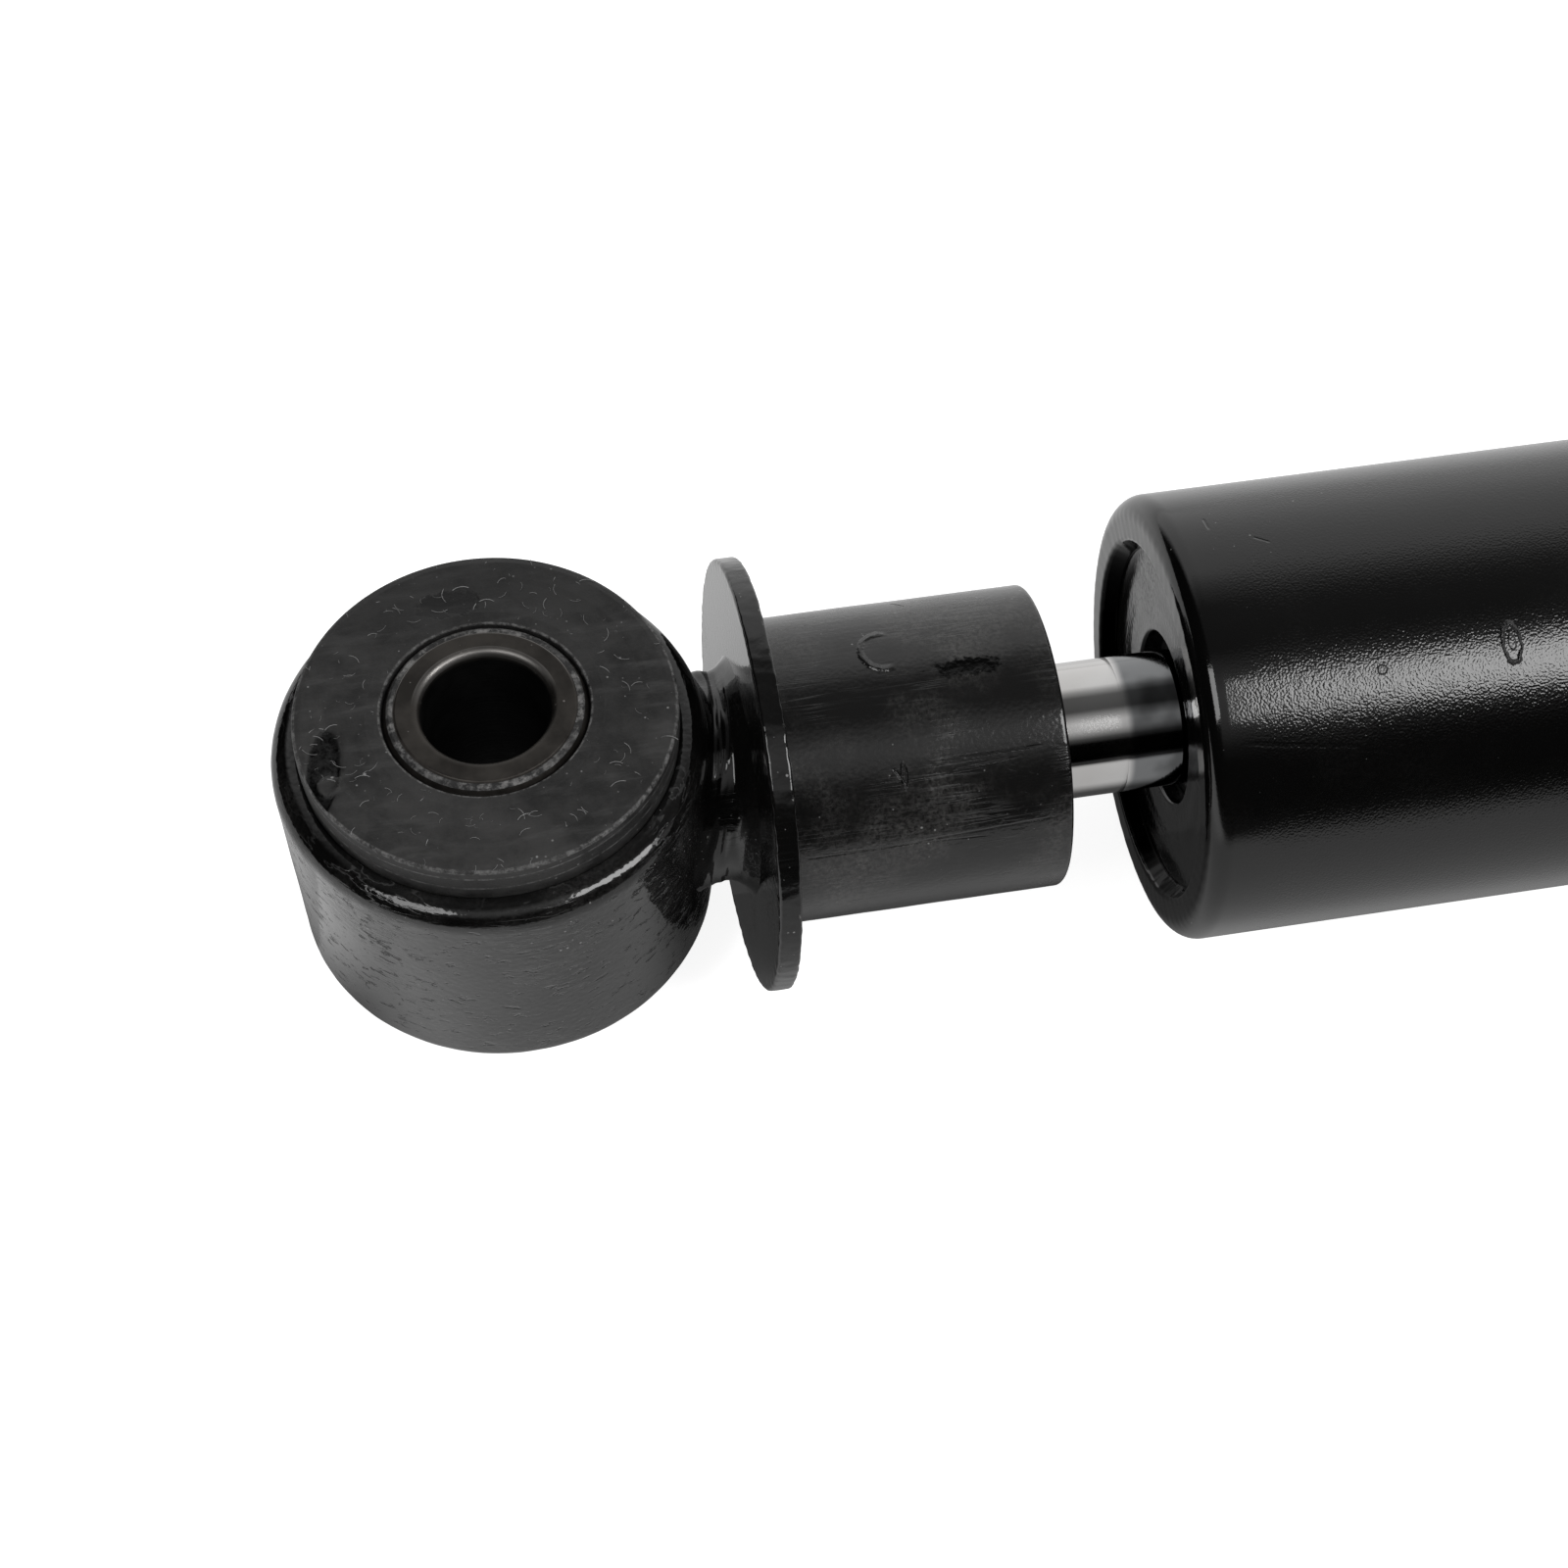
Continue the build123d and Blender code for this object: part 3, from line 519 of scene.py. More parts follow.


def chrome():
    """Ground and plated rod: a mirror with faint grinding lines, drawn darker near the cap as painted shade
    of the dark rim that it mirrors, with a bump rising towards the cap.
    """
    tree, shader, place = new_finish("chrome")
    cloud = noise_value(tree, place, 150.0, 3.0)
    grind = noise_value(tree, stretched(tree, place, 5200.0, 300.0, 300.0), 1.0, 2.0)
    lines = effect(tree, "scratches", place, Stretch=(40.0, 1600.0, 1600.0), Amount=0.28)
    base = blend_colour(tree, spread(tree, cloud, 0.3, 0.7), grey(0.56, 0.02), grey(0.62, 0.01))
    along = axis_of(tree, place, "X")
    edge = maths(tree, "MULTIPLY_ADD", noise_value(tree, place, 260.0, 3.0), 0.0006, along)
    # Painted shade: the rod near the cap is drawn as a darker film, standing in for the dark rim that it
    # mirrors.
    start, stop = RIM_SHADE_X
    fading = spread(tree, edge, stop - 0.001, stop, 1.0, 0.0)
    painted_rim_shade = times(tree, spread(tree, edge, start, start + 0.001), fading)
    film = blend_colour(tree, spread(tree, cloud, 0.40, 0.60), grey(0.10, -0.02), grey(0.21, -0.02))
    base = coated(tree, base, (times(tree, lines, 0.3), grey(0.36)), (painted_rim_shade, film))
    feed(tree, shader, "Base Color", base)
    rough = spread(tree, cloud, 0.3, 0.7, 0.05, 0.11)
    feed(tree, shader, "Roughness", maths(tree, "MULTIPLY_ADD", lines, 0.12, rough))
    feed(tree, shader, "Metallic", spread(tree, lines, 0.0, 1.0, 1.0, 0.9))
    creep = times(tree, minus(tree, along, 0.0565), 200.0, clamp=True)
    creep = maths(tree, "POWER", creep, 1.25)
    raise_bumps(tree, shader, (creep, 0.00108, 1.0), (grind, 0.000004, 0.4), (cloud, 0.00001, 0.2))


def plain_metal(name, low, high, roughness, warmth=0.0, grain=400.0):
    """Unpainted metal with a cloudy tone and fine tool marks."""
    tree, shader, place = new_finish(name, Metallic=1.0)
    cloud = noise_value(tree, place, grain, 4.0, 0.6)
    marks = noise_value(tree, stretched(tree, place, 3000.0, 250.0, 250.0), 1.0, 2.0)
    worn = effect(tree, "edge_wear", place, Reach=0.5)
    base = blend_colour(tree, spread(tree, cloud, 0.3, 0.7), grey(low, warmth), grey(high, warmth))
    feed(tree, shader, "Base Color", blend_colour(tree, worn, base, grey(0.6)))
    feed(tree, shader, "Roughness", spread(tree, cloud, 0.3, 0.7, roughness * 0.8, roughness * 1.25))
    raise_bumps(tree, shader, (marks, 0.00001, 0.4), (cloud, 0.00002, 0.3))


def band_plastic():
    """Brown filled plastic of the piston's band."""
    tree, shader, place = new_finish("band_plastic", Specular_IOR_Level=0.4)
    cloud = noise_value(tree, place, 900.0, 4.0, 0.7)
    base = blend_colour(tree, spread(tree, cloud, 0.3, 0.7), (0.10, 0.055, 0.03, 1), (0.16, 0.09, 0.05, 1))
    feed(tree, shader, "Base Color", base)
    feed(tree, shader, "Roughness", spread(tree, cloud, 0.3, 0.7, 0.35, 0.5))
    raise_bumps(tree, shader, (cloud, 0.00002, 0.4))


# Marks that the photograph shows, in metres: where each is and its half sizes
BODY_BLISTERS = (
    ((0.08738, -0.00934, 0.01842), (0.0008, 0.0017, 0.0017)),
    ((0.07573, -0.01007, 0.01803), (0.0004, 0.0004, 0.0004)),
)
COLLAR_MARKS = (
    ((0.03476, -0.00926, 0.01044), (0.0003, 0.0011, 0.0011)),
)
COLLAR_SMEARS = (
    ((0.04180, -0.00110, 0.01390), (0.0033, 0.0010, 0.0010)),
)
COLLAR_CRESCENTS = (
    ((0.03480, 0.00190, 0.01382), (0.0019, 0.0021, 0.0021)),
)
# Scratches, each from one end to the other, with its width and depth
COLLAR_CUTS = (
    ((0.0255, -0.01296, 0.00516), (0.0366, -0.01292, 0.00527), 0.00018, 0.00006),
    ((0.0330, -0.01293, 0.00524), (0.0490, -0.01262, 0.00594), 0.00018, 0.00006),
    ((0.0268, -0.01285, 0.00544), (0.0425, -0.01303, 0.00498), 0.00014, 0.00006),
    ((0.0375, -0.00861, 0.01098), (0.0475, -0.00843, 0.01112), 0.00016, 0.00006),
    ((0.0388, -0.00930, 0.01040), (0.0450, -0.00900, 0.01066), 0.00012, 0.00006),
    ((0.0339, -0.00864, 0.01095), (0.0350, -0.01003, 0.00970), 0.00016, 0.00010),
    ((0.0371, 0.00932, 0.01038), (0.0381, 0.00800, 0.01143), 0.00022, 0.00010),
)
BODY_CUTS = (
    ((0.0625, -0.01382, 0.01534), (0.0745, -0.01518, 0.01400), 0.00030, 0.000008),
    ((0.0720, -0.01505, 0.01414), (0.0945, -0.01790, 0.01030), 0.00030, 0.000010),
    ((0.0644, 0.00751, 0.01924), (0.0644, 0.00560, 0.01988), 0.00018, 0.00006),
    ((0.0678, 0.00400, 0.02026), (0.0692, 0.00300, 0.02043), 0.00018, 0.00006),
)

black_paint("ring_paint", 0.07, 0.15, 0.35, 1900.0, stretch=(250.0, 250.0, 2600.0), dust=0.34, scuff=0.45,
            scratch=0.2, pits=0.75, wear=0.3, haze=0.02)
black_paint("neck_paint", 0.05, 0.10, 0.15, wear=0.2, scratch=0.04, haze=0.006)
black_paint("disc_paint", 0.08, 0.16, 0.2, wear=0.46, dust=0.40, scratch=0.04, haze=0.006)
black_paint("collar_paint", 0.13, 0.30, 0.3, stretch=(70.0, 1500.0, 1900.0), scuff=0.42, scratch=0.16,
            dust=0.24, film=0.006, haze=0.055, pits=0.12, blisters=COLLAR_MARKS, smears=COLLAR_SMEARS,
            crescents=COLLAR_CRESCENTS, cuts=COLLAR_CUTS)
black_paint("body_paint", 0.09, 0.13, 0.42, 5100.0, scuff=0.2, scratch=0.05, film=0.002, haze=0.004,
            calm=0.0615, blisters=BODY_BLISTERS, cuts=BODY_CUTS)
black_paint("cap_paint", 0.10, 0.20, 0.3, scratch=0.04, haze=0.008)
rubber()
lint_fibre()
sleeve_steel()
chrome()
plain_metal("bare_steel", 0.34, 0.44, 0.3)
plain_metal("spring_steel", 0.28, 0.36, 0.26, -0.02)
plain_metal("sintered_iron", 0.10, 0.19, 0.55, 0.02, 2600.0)
plain_metal("lined_bronze", 0.30, 0.38, 0.35, 0.25, 1200.0)
band_plastic()


# Turned meshes

def rounded(corners, steps=6, reach=0.2, longest=1.5):
    """A closed profile from corners of (along, radius, round, wear), with support points by each round."""
    count = len(corners)
    runs = []
    for i, (along, radius, bend, wear) in enumerate(corners):
        here = Vector((along, radius))
        before = (Vector(corners[i - 1][:2]) - here).normalized()
        after = (Vector(corners[(i + 1) % count][:2]) - here).normalized()
        if bend <= 0:
            runs.append([(here, wear)])
            continue
        half = before.angle(after) / 2
        centre = here + (before + after).normalized() * (bend / math.sin(half))
        first = here + before * (bend / math.tan(half)) - centre
        sweep = first.angle_signed(here + after * (bend / math.tan(half)) - centre)
        arc = []
        for k in range(steps + 1):
            turn = -sweep * k / steps
            spoke = Vector((first.x * math.cos(turn) - first.y * math.sin(turn),
                            first.x * math.sin(turn) + first.y * math.cos(turn)))
            arc.append((centre + spoke, wear))
        runs.append(arc)
    profile = []
    for i, run in enumerate(runs):
        profile.extend(run)
        start, end = run[-1][0], runs[(i + 1) % count][0][0]
        length = (end - start).length
        if length < 3 * reach or (start.y == 0 and end.y == 0):
            continue
        middle = max(1, math.ceil((length - 2 * reach) / longest))
        stops = [reach + (length - 2 * reach) * k / middle for k in range(middle + 1)]
        profile.extend((start.lerp(end, stop / length), 0.0) for stop in stops)
    return profile


def around(radius, angle):
    """The two coordinates across the axis of a point on a turned piece."""
    return radius * math.cos(angle), radius * math.sin(angle)


def bump_at(angle, middle, width):
    """One at an angle in degrees about the axis, fading to nothing on both sides."""
    return math.exp(-((math.degrees(angle) - middle) / width) ** 2)


def mirrored(corners):
    """The same corners on the other side of the middle plane, in reverse."""
    return [(-along, radius, bend, wear) for along, radius, bend, wear in reversed(corners)]


def rough(x, y, z, size, seed):
    """Noise from about -1 to 1 at a size in millimetres."""
    return noise.noise(Vector((x / size + seed, y / size + 3.7 * seed, z / size - seed)))


def turned(name, profile, finish, axis="X", centre_x=0.0, segments=256, shape=None):
    """A closed mesh turned about the damper's axis or an eye's bore. shape may move each point."""
    points, wears, rings = [], [], []
    for (along, radius), wear in profile:
        count = 1 if radius < 1e-6 else segments
        rings.append((len(points), count))
        for k in range(count):
            angle = 2 * math.pi * k / segments
            a, r, *mark = shape(along, radius, angle) if shape else (along, radius)
            across, high = around(r, angle)
            spot = (a, across, high) if axis == "X" else (across, high, a)
            points.append(((spot[0] + centre_x) * MM, spot[1] * MM, spot[2] * MM))
            wears.append(mark[0] if mark else wear)
    faces = []
    for i, (start, count) in enumerate(rings):
        onward, onward_count = rings[(i + 1) % len(rings)]
        if count == 1 and onward_count == 1:
            continue
        for k in range(segments):
            k2 = (k + 1) % segments
            quad = [start + k % count, onward + k % onward_count,
                    onward + k2 % onward_count, start + k2 % count]
            faces.append(list(dict.fromkeys(quad)))
    mesh = bpy.data.meshes.new(name)
    mesh.from_pydata(points, [], faces)
    mesh.attributes.new("wear", "FLOAT", "POINT").data.foreach_set("value", wears)
    return finished(name, mesh, finish)


def finished(name, mesh, finish):
    """An object of the mesh, closed, turned outwards, smooth, in its finish."""
    sheet = bmesh.new()
    sheet.from_mesh(mesh)
    bmesh.ops.recalc_face_normals(sheet, faces=sheet.faces)
    for face in sheet.faces:
        face.smooth = True
    for edge in sheet.edges:
        edge.smooth = len(edge.link_faces) == 2 and edge.calc_face_angle(0.0) < math.radians(50)
    sheet.to_mesh(mesh)
    sheet.free()
    mesh.materials.append(finishes[finish])
    piece = bpy.data.objects.new(name, mesh)
    put_in_scene(piece)
    return piece


def stands_for(piece, body, slot, *nodes):
    """The piece rides on its body and replaces the model's nodes; the slot is not used."""
    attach(piece, body)
    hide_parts(*nodes)


# Eyes

def eye(prefix, centre_x, bush_body, sleeve_body, seed):
    """Painted ring, rubber bushing and steel sleeve of one eye."""

    def hammered(along, radius, angle):
        x, y = around(radius, angle)
        dents = 0.03 * rough(x, y, along, 6.0, seed) + 0.02 * rough(x, y, along, 1.6, seed)
        return along, radius + dents - 0.05

    ring = rounded([
        (RING_HALF, RING_BORE_R, 0.25, 0.4), (RING_HALF, RING_R, 2.0, 0.24),
        (-RING_HALF, RING_R, 1.1, 0.42), (-RING_HALF, RING_BORE_R, 0.25, 0.4),
    ], 8)
    piece = turned(prefix + "_painted_ring", ring, "ring_paint", "Z", centre_x, 320, hammered)
    stands_for(piece, bush_body, "black_paint", prefix + "_ring")

    def moulded(along, radius, angle):
        side = 1 if along > 0 else -1
        if abs(along) > BUSHING_HALF - 0.3 and radius < RING_BORE_R - 0.2:
            x, y = around(radius, angle)
            depth = gate_depth(x, y, side)
            along -= side * (depth + 0.025 * (1 + rough(x, y, side, 9.0, seed)))
            if depth > 0.02:
                return along, radius, -2.4 * depth
        return along, radius

    face = BUSHING_HALF
    upper = [
        (face - 1.0, SLEEVE_R + 0.03, 0, 0.1), (face - 0.1, 8.98, 0.15, 0.8),
        (face - 0.02, 10.2, 0.5, 0.2), (face - 0.12, 11.4, 0.5, 0.0),
        (face - 0.12, 13.6, 0.3, 0.0), (face - 0.04, 14.1, 0.3, 0.12),
        (face - 0.04, 15.7, 0.5, 0.1), (face - 0.25, 16.45, 0.3, 0.75),
        (face - 1.2, RING_BORE_R, 0.5, 0.8), (face - 2.6, RING_BORE_R, 0.5, 0.8),
        (RING_HALF + 0.1, 16.42, 0.4, 0.2),
    ]
    bushing = rounded(upper + mirrored(upper), 5, 0.15, 0.5)
    piece = turned(prefix + "_moulded_bushing", bushing, "rubber", "Z", centre_x, 320, moulded)
    stands_for(piece, bush_body, "rubber", prefix + "_bushing")

    end = SLEEVE_HALF
    upper = [
        (end, SLEEVE_BORE_R, 0.65, 0.95), (end, 7.65, 0.12, 0.3), (end - 0.16, 7.92, 0, 1.7),
        (end - 0.10, 8.20, 0, 1.7), (end - 0.30, 8.45, 0, 1.7), (end - 1.0, SLEEVE_R, 0.1, 0.0),
    ]
    sleeve = rounded(upper + mirrored(upper), 7, 0.12, 0.8)
    piece = turned(prefix + "_turned_sleeve", sleeve, "sleeve_steel", "Z", centre_x)
    stands_for(piece, sleeve_body, "sleeve_steel", prefix + "_sleeve")


GATE_DEPTH = 0.42
PIP_HEIGHT = 0.36
PIP_R = 1.15


def gate_depth(x, y, side):
    """Depth of the gate mark moulded in the bushing's face: a long scoop with a round pip in it."""
    if side < 0:
        return 0.0
    lean = x + 14.1 - 0.12 * (y + 4.3)
    scoop = max(0.0, 1 - (lean / 1.5) ** 2 - ((y + 4.2) / 4.6) ** 2)
    pip = max(0.0, 1 - ((x + 13.7) ** 2 + (y + 5.7) ** 2) / PIP_R ** 2)
    return GATE_DEPTH * min(1.0, 3 * scoop) - PIP_HEIGHT * min(1.0, 4 * pip)


eye("rod_eye", 0.0, "rod", "rod_sleeve", 1.3)
eye("base_eye", EYE_TO_EYE, "cylinder", "base_sleeve", 5.1)


# Necks, disc and collar

def out_of_square(y, z):
    """How far the disc's plane leans along X: it was welded on about two degrees out of square."""
    return 0.040 * z - 0.017 * y


def weld_neck(name, eye_x, facing, face_gap, bore_r, body, node_name, seed):
    """Weld between an eye's ring and a flat face, with run marks and a lap at the bottom."""
    face = RING_R + face_gap
    profile = [((0.0, bore_r), 0.0), ((0.0, NECK_FOOT_R), 0.0)]
    profile += [((k / NECK_STEPS, NECK_FOOT_R), 0.35) for k in range(1, NECK_STEPS)]
    profile += [((1.0, NECK_FOOT_R), 0.2), ((1.0, bore_r), 0.0)]

    def drawn(share, radius, angle):
        open_share = abs(2 * share - 1)
        if radius > bore_r + 0.01:
            radius = NECK_WAIST_R + (NECK_FOOT_R - NECK_WAIST_R) * open_share ** 2.6
            fade = min(1.0, 4 * share * (1 - share))
            lean = 6.0 * share + 1.3 * math.sin(angle - 2.15)
            runs = rough(*around(2.5, angle), lean, 1.5, seed)
            streak = rough(*around(4.0, angle), 2.4 * lean, 1.3, seed + 3)
            lap = bump_at(angle, 218, 8)
            radius += fade * (0.30 * runs + 0.09 * streak - 0.55 * lap)
            radius += 0.6 * fade * bump_at(angle, 42, 10)
        root = math.sqrt((RING_R - 0.8) ** 2 - (radius * math.cos(angle)) ** 2)
        along = root + (face - root) * share
        if facing > 0:
            along += share ** 3 * out_of_square(*around(radius, angle))
        return eye_x + facing * along, radius

    piece = turned(name, profile, "neck_paint", "X", 0.0, 384, drawn)
    stands_for(piece, body, "black_paint", node_name)


weld_neck("rod_eye_neck_weld", 0.0, 1, 2.7, ROD_R, "rod", "rod_eye_weld", 2.2)
weld_neck("base_eye_neck_weld", EYE_TO_EYE, -1, 0.6, 2.0, "cylinder", "base_eye_weld", 7.9)


def sheared(along, radius, angle):
    """The disc's blanked edge: torn grain across its thickness and a burr at one side."""
    y, z = around(radius, angle)
    if radius > DISC_R - 1.0:
        near = min(1.0, (radius - DISC_R + 1.0) / 0.6)
        tear = 0.6 * rough(along * 0.6, y, z, 0.7, 4.4) + rough(along, y, z, 4.0, 8.2)
        radius += near * (0.06 * tear - 0.08)
        along += near * 0.06 * rough(along * 2, y, z, 0.9, 6.6)
    return along + out_of_square(y, z), radius


disc = rounded([
    (DISC_X, ROD_R + 0.1, 0, 0), (DISC_X, DISC_R, 0.32, 0.75),
    (DISC_END_X, DISC_R, 0.28, 0.8), (DISC_END_X, ROD_R + 0.1, 0, 0),
], 6, 0.2, 0.35)
piece = turned("blanked_disc", disc, "disc_paint", segments=480, shape=sheared)
stands_for(piece, "rod", "black_paint", "stop_disc")


def dripped(along, radius, angle):
    """The collar's paint: slow waves, and small drips along its underside."""
    if radius > COLLAR_R - 0.8:
        y, z = around(radius, angle)
        radius += 0.035 * rough(along, y, z, 5.0, 2.8) - 0.035
        under = bump_at(angle, 235, 14)
        radius += under * 0.10 * max(0.0, rough(along * 1.7, y, z, 2.6, 9.9))
    if along < DISC_END_X + 0.15:
        along += out_of_square(*around(radius, angle))
    return along, min(radius, COLLAR_R)


collar = rounded([
    (DISC_END_X, COLLAR_BORE_R, 0, 0), (DISC_END_X, COLLAR_R, 0.1, 0),
    (COLLAR_END_X, COLLAR_R, 0.42, 0.8), (COLLAR_END_X, COLLAR_BORE_R, 0.3, 0.4),
], 7, 0.2, 0.8)
piece = turned("painted_collar", collar, "collar_paint", segments=320, shape=dripped)
stands_for(piece, "rod", "black_paint", "travel_collar")


def saddled(along, radius, angle):
    """The rod's outer end, cut to the eye ring's curve."""
    start = math.sqrt(RING_R ** 2 - (radius * math.cos(angle)) ** 2)
    return max(along, start), radius


groove_start, groove_end = ROD_GROOVE_X
rod = rounded([
    (0.0, 0.0, 0, 0), (0.0, ROD_R, 0, 0), (groove_start, ROD_R, 0, 0), (groove_start, ROD_GROOVE_R, 0, 0),
    (groove_end, ROD_GROOVE_R, 0, 0), (groove_end, ROD_R, 0, 0), (ROD_SHOULDER_X, ROD_R, 0.2, 0.5),
    (ROD_SHOULDER_X, ROD_TAIL_R, 0, 0), (ROD_END_X, ROD_TAIL_R, 0.6, 0.5), (ROD_END_X, 0.0, 0, 0),
], 4, 0.2, 12.0)
stands_for(turned("plated_rod", rod, "chrome", shape=saddled), "rod", "chrome", "piston_rod")


# Body

def rolled(along, radius, angle):
    """Rolling marks on the body's rim and a chipped inner lip, whose inner wall is marked to be drawn black
    as painted shade.
    """
    y, z = around(radius, angle)
    if along < RIM_X + 0.8 and radius < BODY_R - 1.2:
        mark = math.sin(70 * angle + 1.6 * radius + 2.5 * rough(0, y, z, 7.0, 1.1))
        along += 0.02 + 0.008 * mark + 0.02 * rough(along, y, z, 2.5, 3.3)
    if radius < RIM_LIP_R + 0.7:
        fade = min(1.0, (RIM_LIP_R + 0.7 - radius) / 0.6)
        low = bump_at(angle, 225, 22)
        chip = low * (rough(along, y, z, 0.8, 7.7) + 0.8 * rough(along, y, z, 2.2, 5.5))
        radius += fade * 0.08 * chip
    # The lip's inner wall gets a wear of -1, so the paint draws it black as painted shade.
    if radius < RIM_LIP_R + 0.5 and along > RIM_X + 0.35:
        return along, radius - PAINT_INSET, -1.0
    return min(along, BODY_END_X), radius - PAINT_INSET


body = rounded([
    (RIM_X, RIM_LIP_R, 0.5, 0.25), (RIM_X, BODY_R, 2.0, 0.2), (BODY_END_X, BODY_R, 0.1, 0),
    (BODY_END_X, BODY_BORE_R, 0, 0), (CAP_X + 0.1, BODY_BORE_R, 0.4, 0), (CAP_X + 0.1, 15.6, 0.2, 0.2),
], 12, 0.2, 2.5)
piece = turned("rolled_body", body, "body_paint", segments=384, shape=rolled)
stands_for(piece, "cylinder", "black_paint", "reserve_tube")


def dished(along, radius, angle):
    """The cap plate's face, with faint pressing rings."""
    if along < CAP_X + 0.5:
        y, z = around(radius, angle)
        along += 0.02 * math.sin(2.2 * radius) + 0.02 * rough(0, y, z, 3.5, 4.1) + 0.02
    return along, radius


cap = rounded([
    (CAP_X, CAP_HOLE_R, 0.35, 0.25), (CAP_X, BODY_BORE_R - 0.05, 0.4, 0),
    (CAP_BACK_X, BODY_BORE_R - 0.05, 0, 0), (CAP_BACK_X, CAP_HOLE_R, 0.3, 0),
], 6, 0.2, 0.6)
piece = turned("pressed_cap", cap, "cap_paint", shape=dished)
stands_for(piece, "cylinder", "black_paint", "end_cap")

base = rounded([
    (BASE_FACE_X, 0.0, 0, 0), (BASE_FACE_X, BASE_R, BASE_CORNER_R, 0.2), (BODY_END_X, BASE_R, 0, 0),
    (BODY_END_X, BODY_BORE_R, 0, 0), (BASE_SKIRT_X, BODY_BORE_R, 0, 0), (BASE_SKIRT_X, BASE_SKIRT_R, 0, 0),
    (BASE_INSIDE_X, BASE_SKIRT_R, 1.0, 0), (BASE_INSIDE_X, 0.0, 0, 0),
], 10, 0.2, 1.5)
piece = turned("pressed_base", base, "body_paint")
stands_for(piece, "cylinder", "black_paint", "base_cap")


def growing_tree(name, sizes):
    """An empty Geometry Nodes tree with its sizes in metres and its finish as inputs."""
    tree = bpy.data.node_groups.new(name, "GeometryNodeTree")
    for label, value in sizes.items():
        socket = tree.interface.new_socket(name=label, in_out="INPUT", socket_type="NodeSocketFloat")
        socket.default_value = value
    tree.interface.new_socket(name="Finish", in_out="INPUT", socket_type="NodeSocketMaterial")
    tree.interface.new_socket(name="Geometry", in_out="OUTPUT", socket_type="NodeSocketGeometry")
    start = tree.nodes.new("NodeGroupInput")
    return tree, start.outputs, tree.nodes.new("NodeGroupOutput")


def put_down(tree, given, end, shape, place, turn=ORIGIN):
    """Ends a tree: its shape made real, moved to its place and given its finish."""
    real = node(tree, "GeometryNodeRealizeInstances", {"Geometry": shape})
    put = node(tree, "GeometryNodeTransform",
               {"Geometry": real.outputs[0], "Translation": place, "Rotation": turn})
    coat = node(tree, "GeometryNodeSetMaterial", {"Geometry": put.outputs[0], "Material": given["Finish"]})
    tree.links.new(coat.outputs[0], end.inputs["Geometry"])


def bead_tree():
    """A weld bead: a ring swept by a round section that swells at each ripple."""
    sizes = {"Ring": 0.0198, "Section": 0.0013, "Ripples": 90.0, "Place": 0.2430}
    tree, given, end = growing_tree("weld_bead", sizes)
    path = node(tree, "GeometryNodeCurvePrimitiveCircle", {"Resolution": 720, "Radius": given["Ring"]})
    along = node(tree, "GeometryNodeSplineParameter").outputs["Factor"]
    turns = times(tree, along, times(tree, given["Ripples"], 2 * math.pi))
    swell = maths(tree, "MULTIPLY_ADD", maths(tree, "SINE", turns), 0.10, 0.90)
    section = node(tree, "GeometryNodeCurvePrimitiveCircle", {"Resolution": 14, "Radius": given["Section"]})
    sized = node(tree, "GeometryNodeSetCurveRadius", {"Curve": path.outputs["Curve"], "Radius": swell})
    swept = node(tree, "GeometryNodeCurveToMesh",
                 {"Curve": sized.outputs[0], "Profile Curve": section.outputs["Curve"]})
    place = node(tree, "ShaderNodeCombineXYZ", {"X": given["Place"]}).outputs[0]
    put_down(tree, given, end, swept.outputs[0], place, (0, math.pi / 2, 0))
    return tree


def grown(name, tree, finish, **inputs):
    """A piece made by a Geometry Nodes tree and baked to a plain mesh."""
    seed_mesh = bpy.data.meshes.new(name + "_seed")
    maker = bpy.data.objects.new(name + "_maker", seed_mesh)
    put_in_scene(maker)
    modifier = maker.modifiers.new("grow", "NODES")
    modifier.node_group = tree
    for item in tree.interface.items_tree:
        if item.in_out == "INPUT" and item.name in inputs:
            modifier[item.identifier] = inputs[item.name]
        if item.in_out == "INPUT" and item.name == "Finish":
            modifier[item.identifier] = finishes[finish]
    bpy.context.view_layer.update()
    ready = maker.evaluated_get(bpy.context.evaluated_depsgraph_get())
    mesh = bpy.data.meshes.new_from_object(ready)
    mesh.name = name
    maker.modifiers.remove(modifier)
    bpy.data.objects.remove(maker)
    mesh.materials.clear()
    return finished(name, mesh, finish)


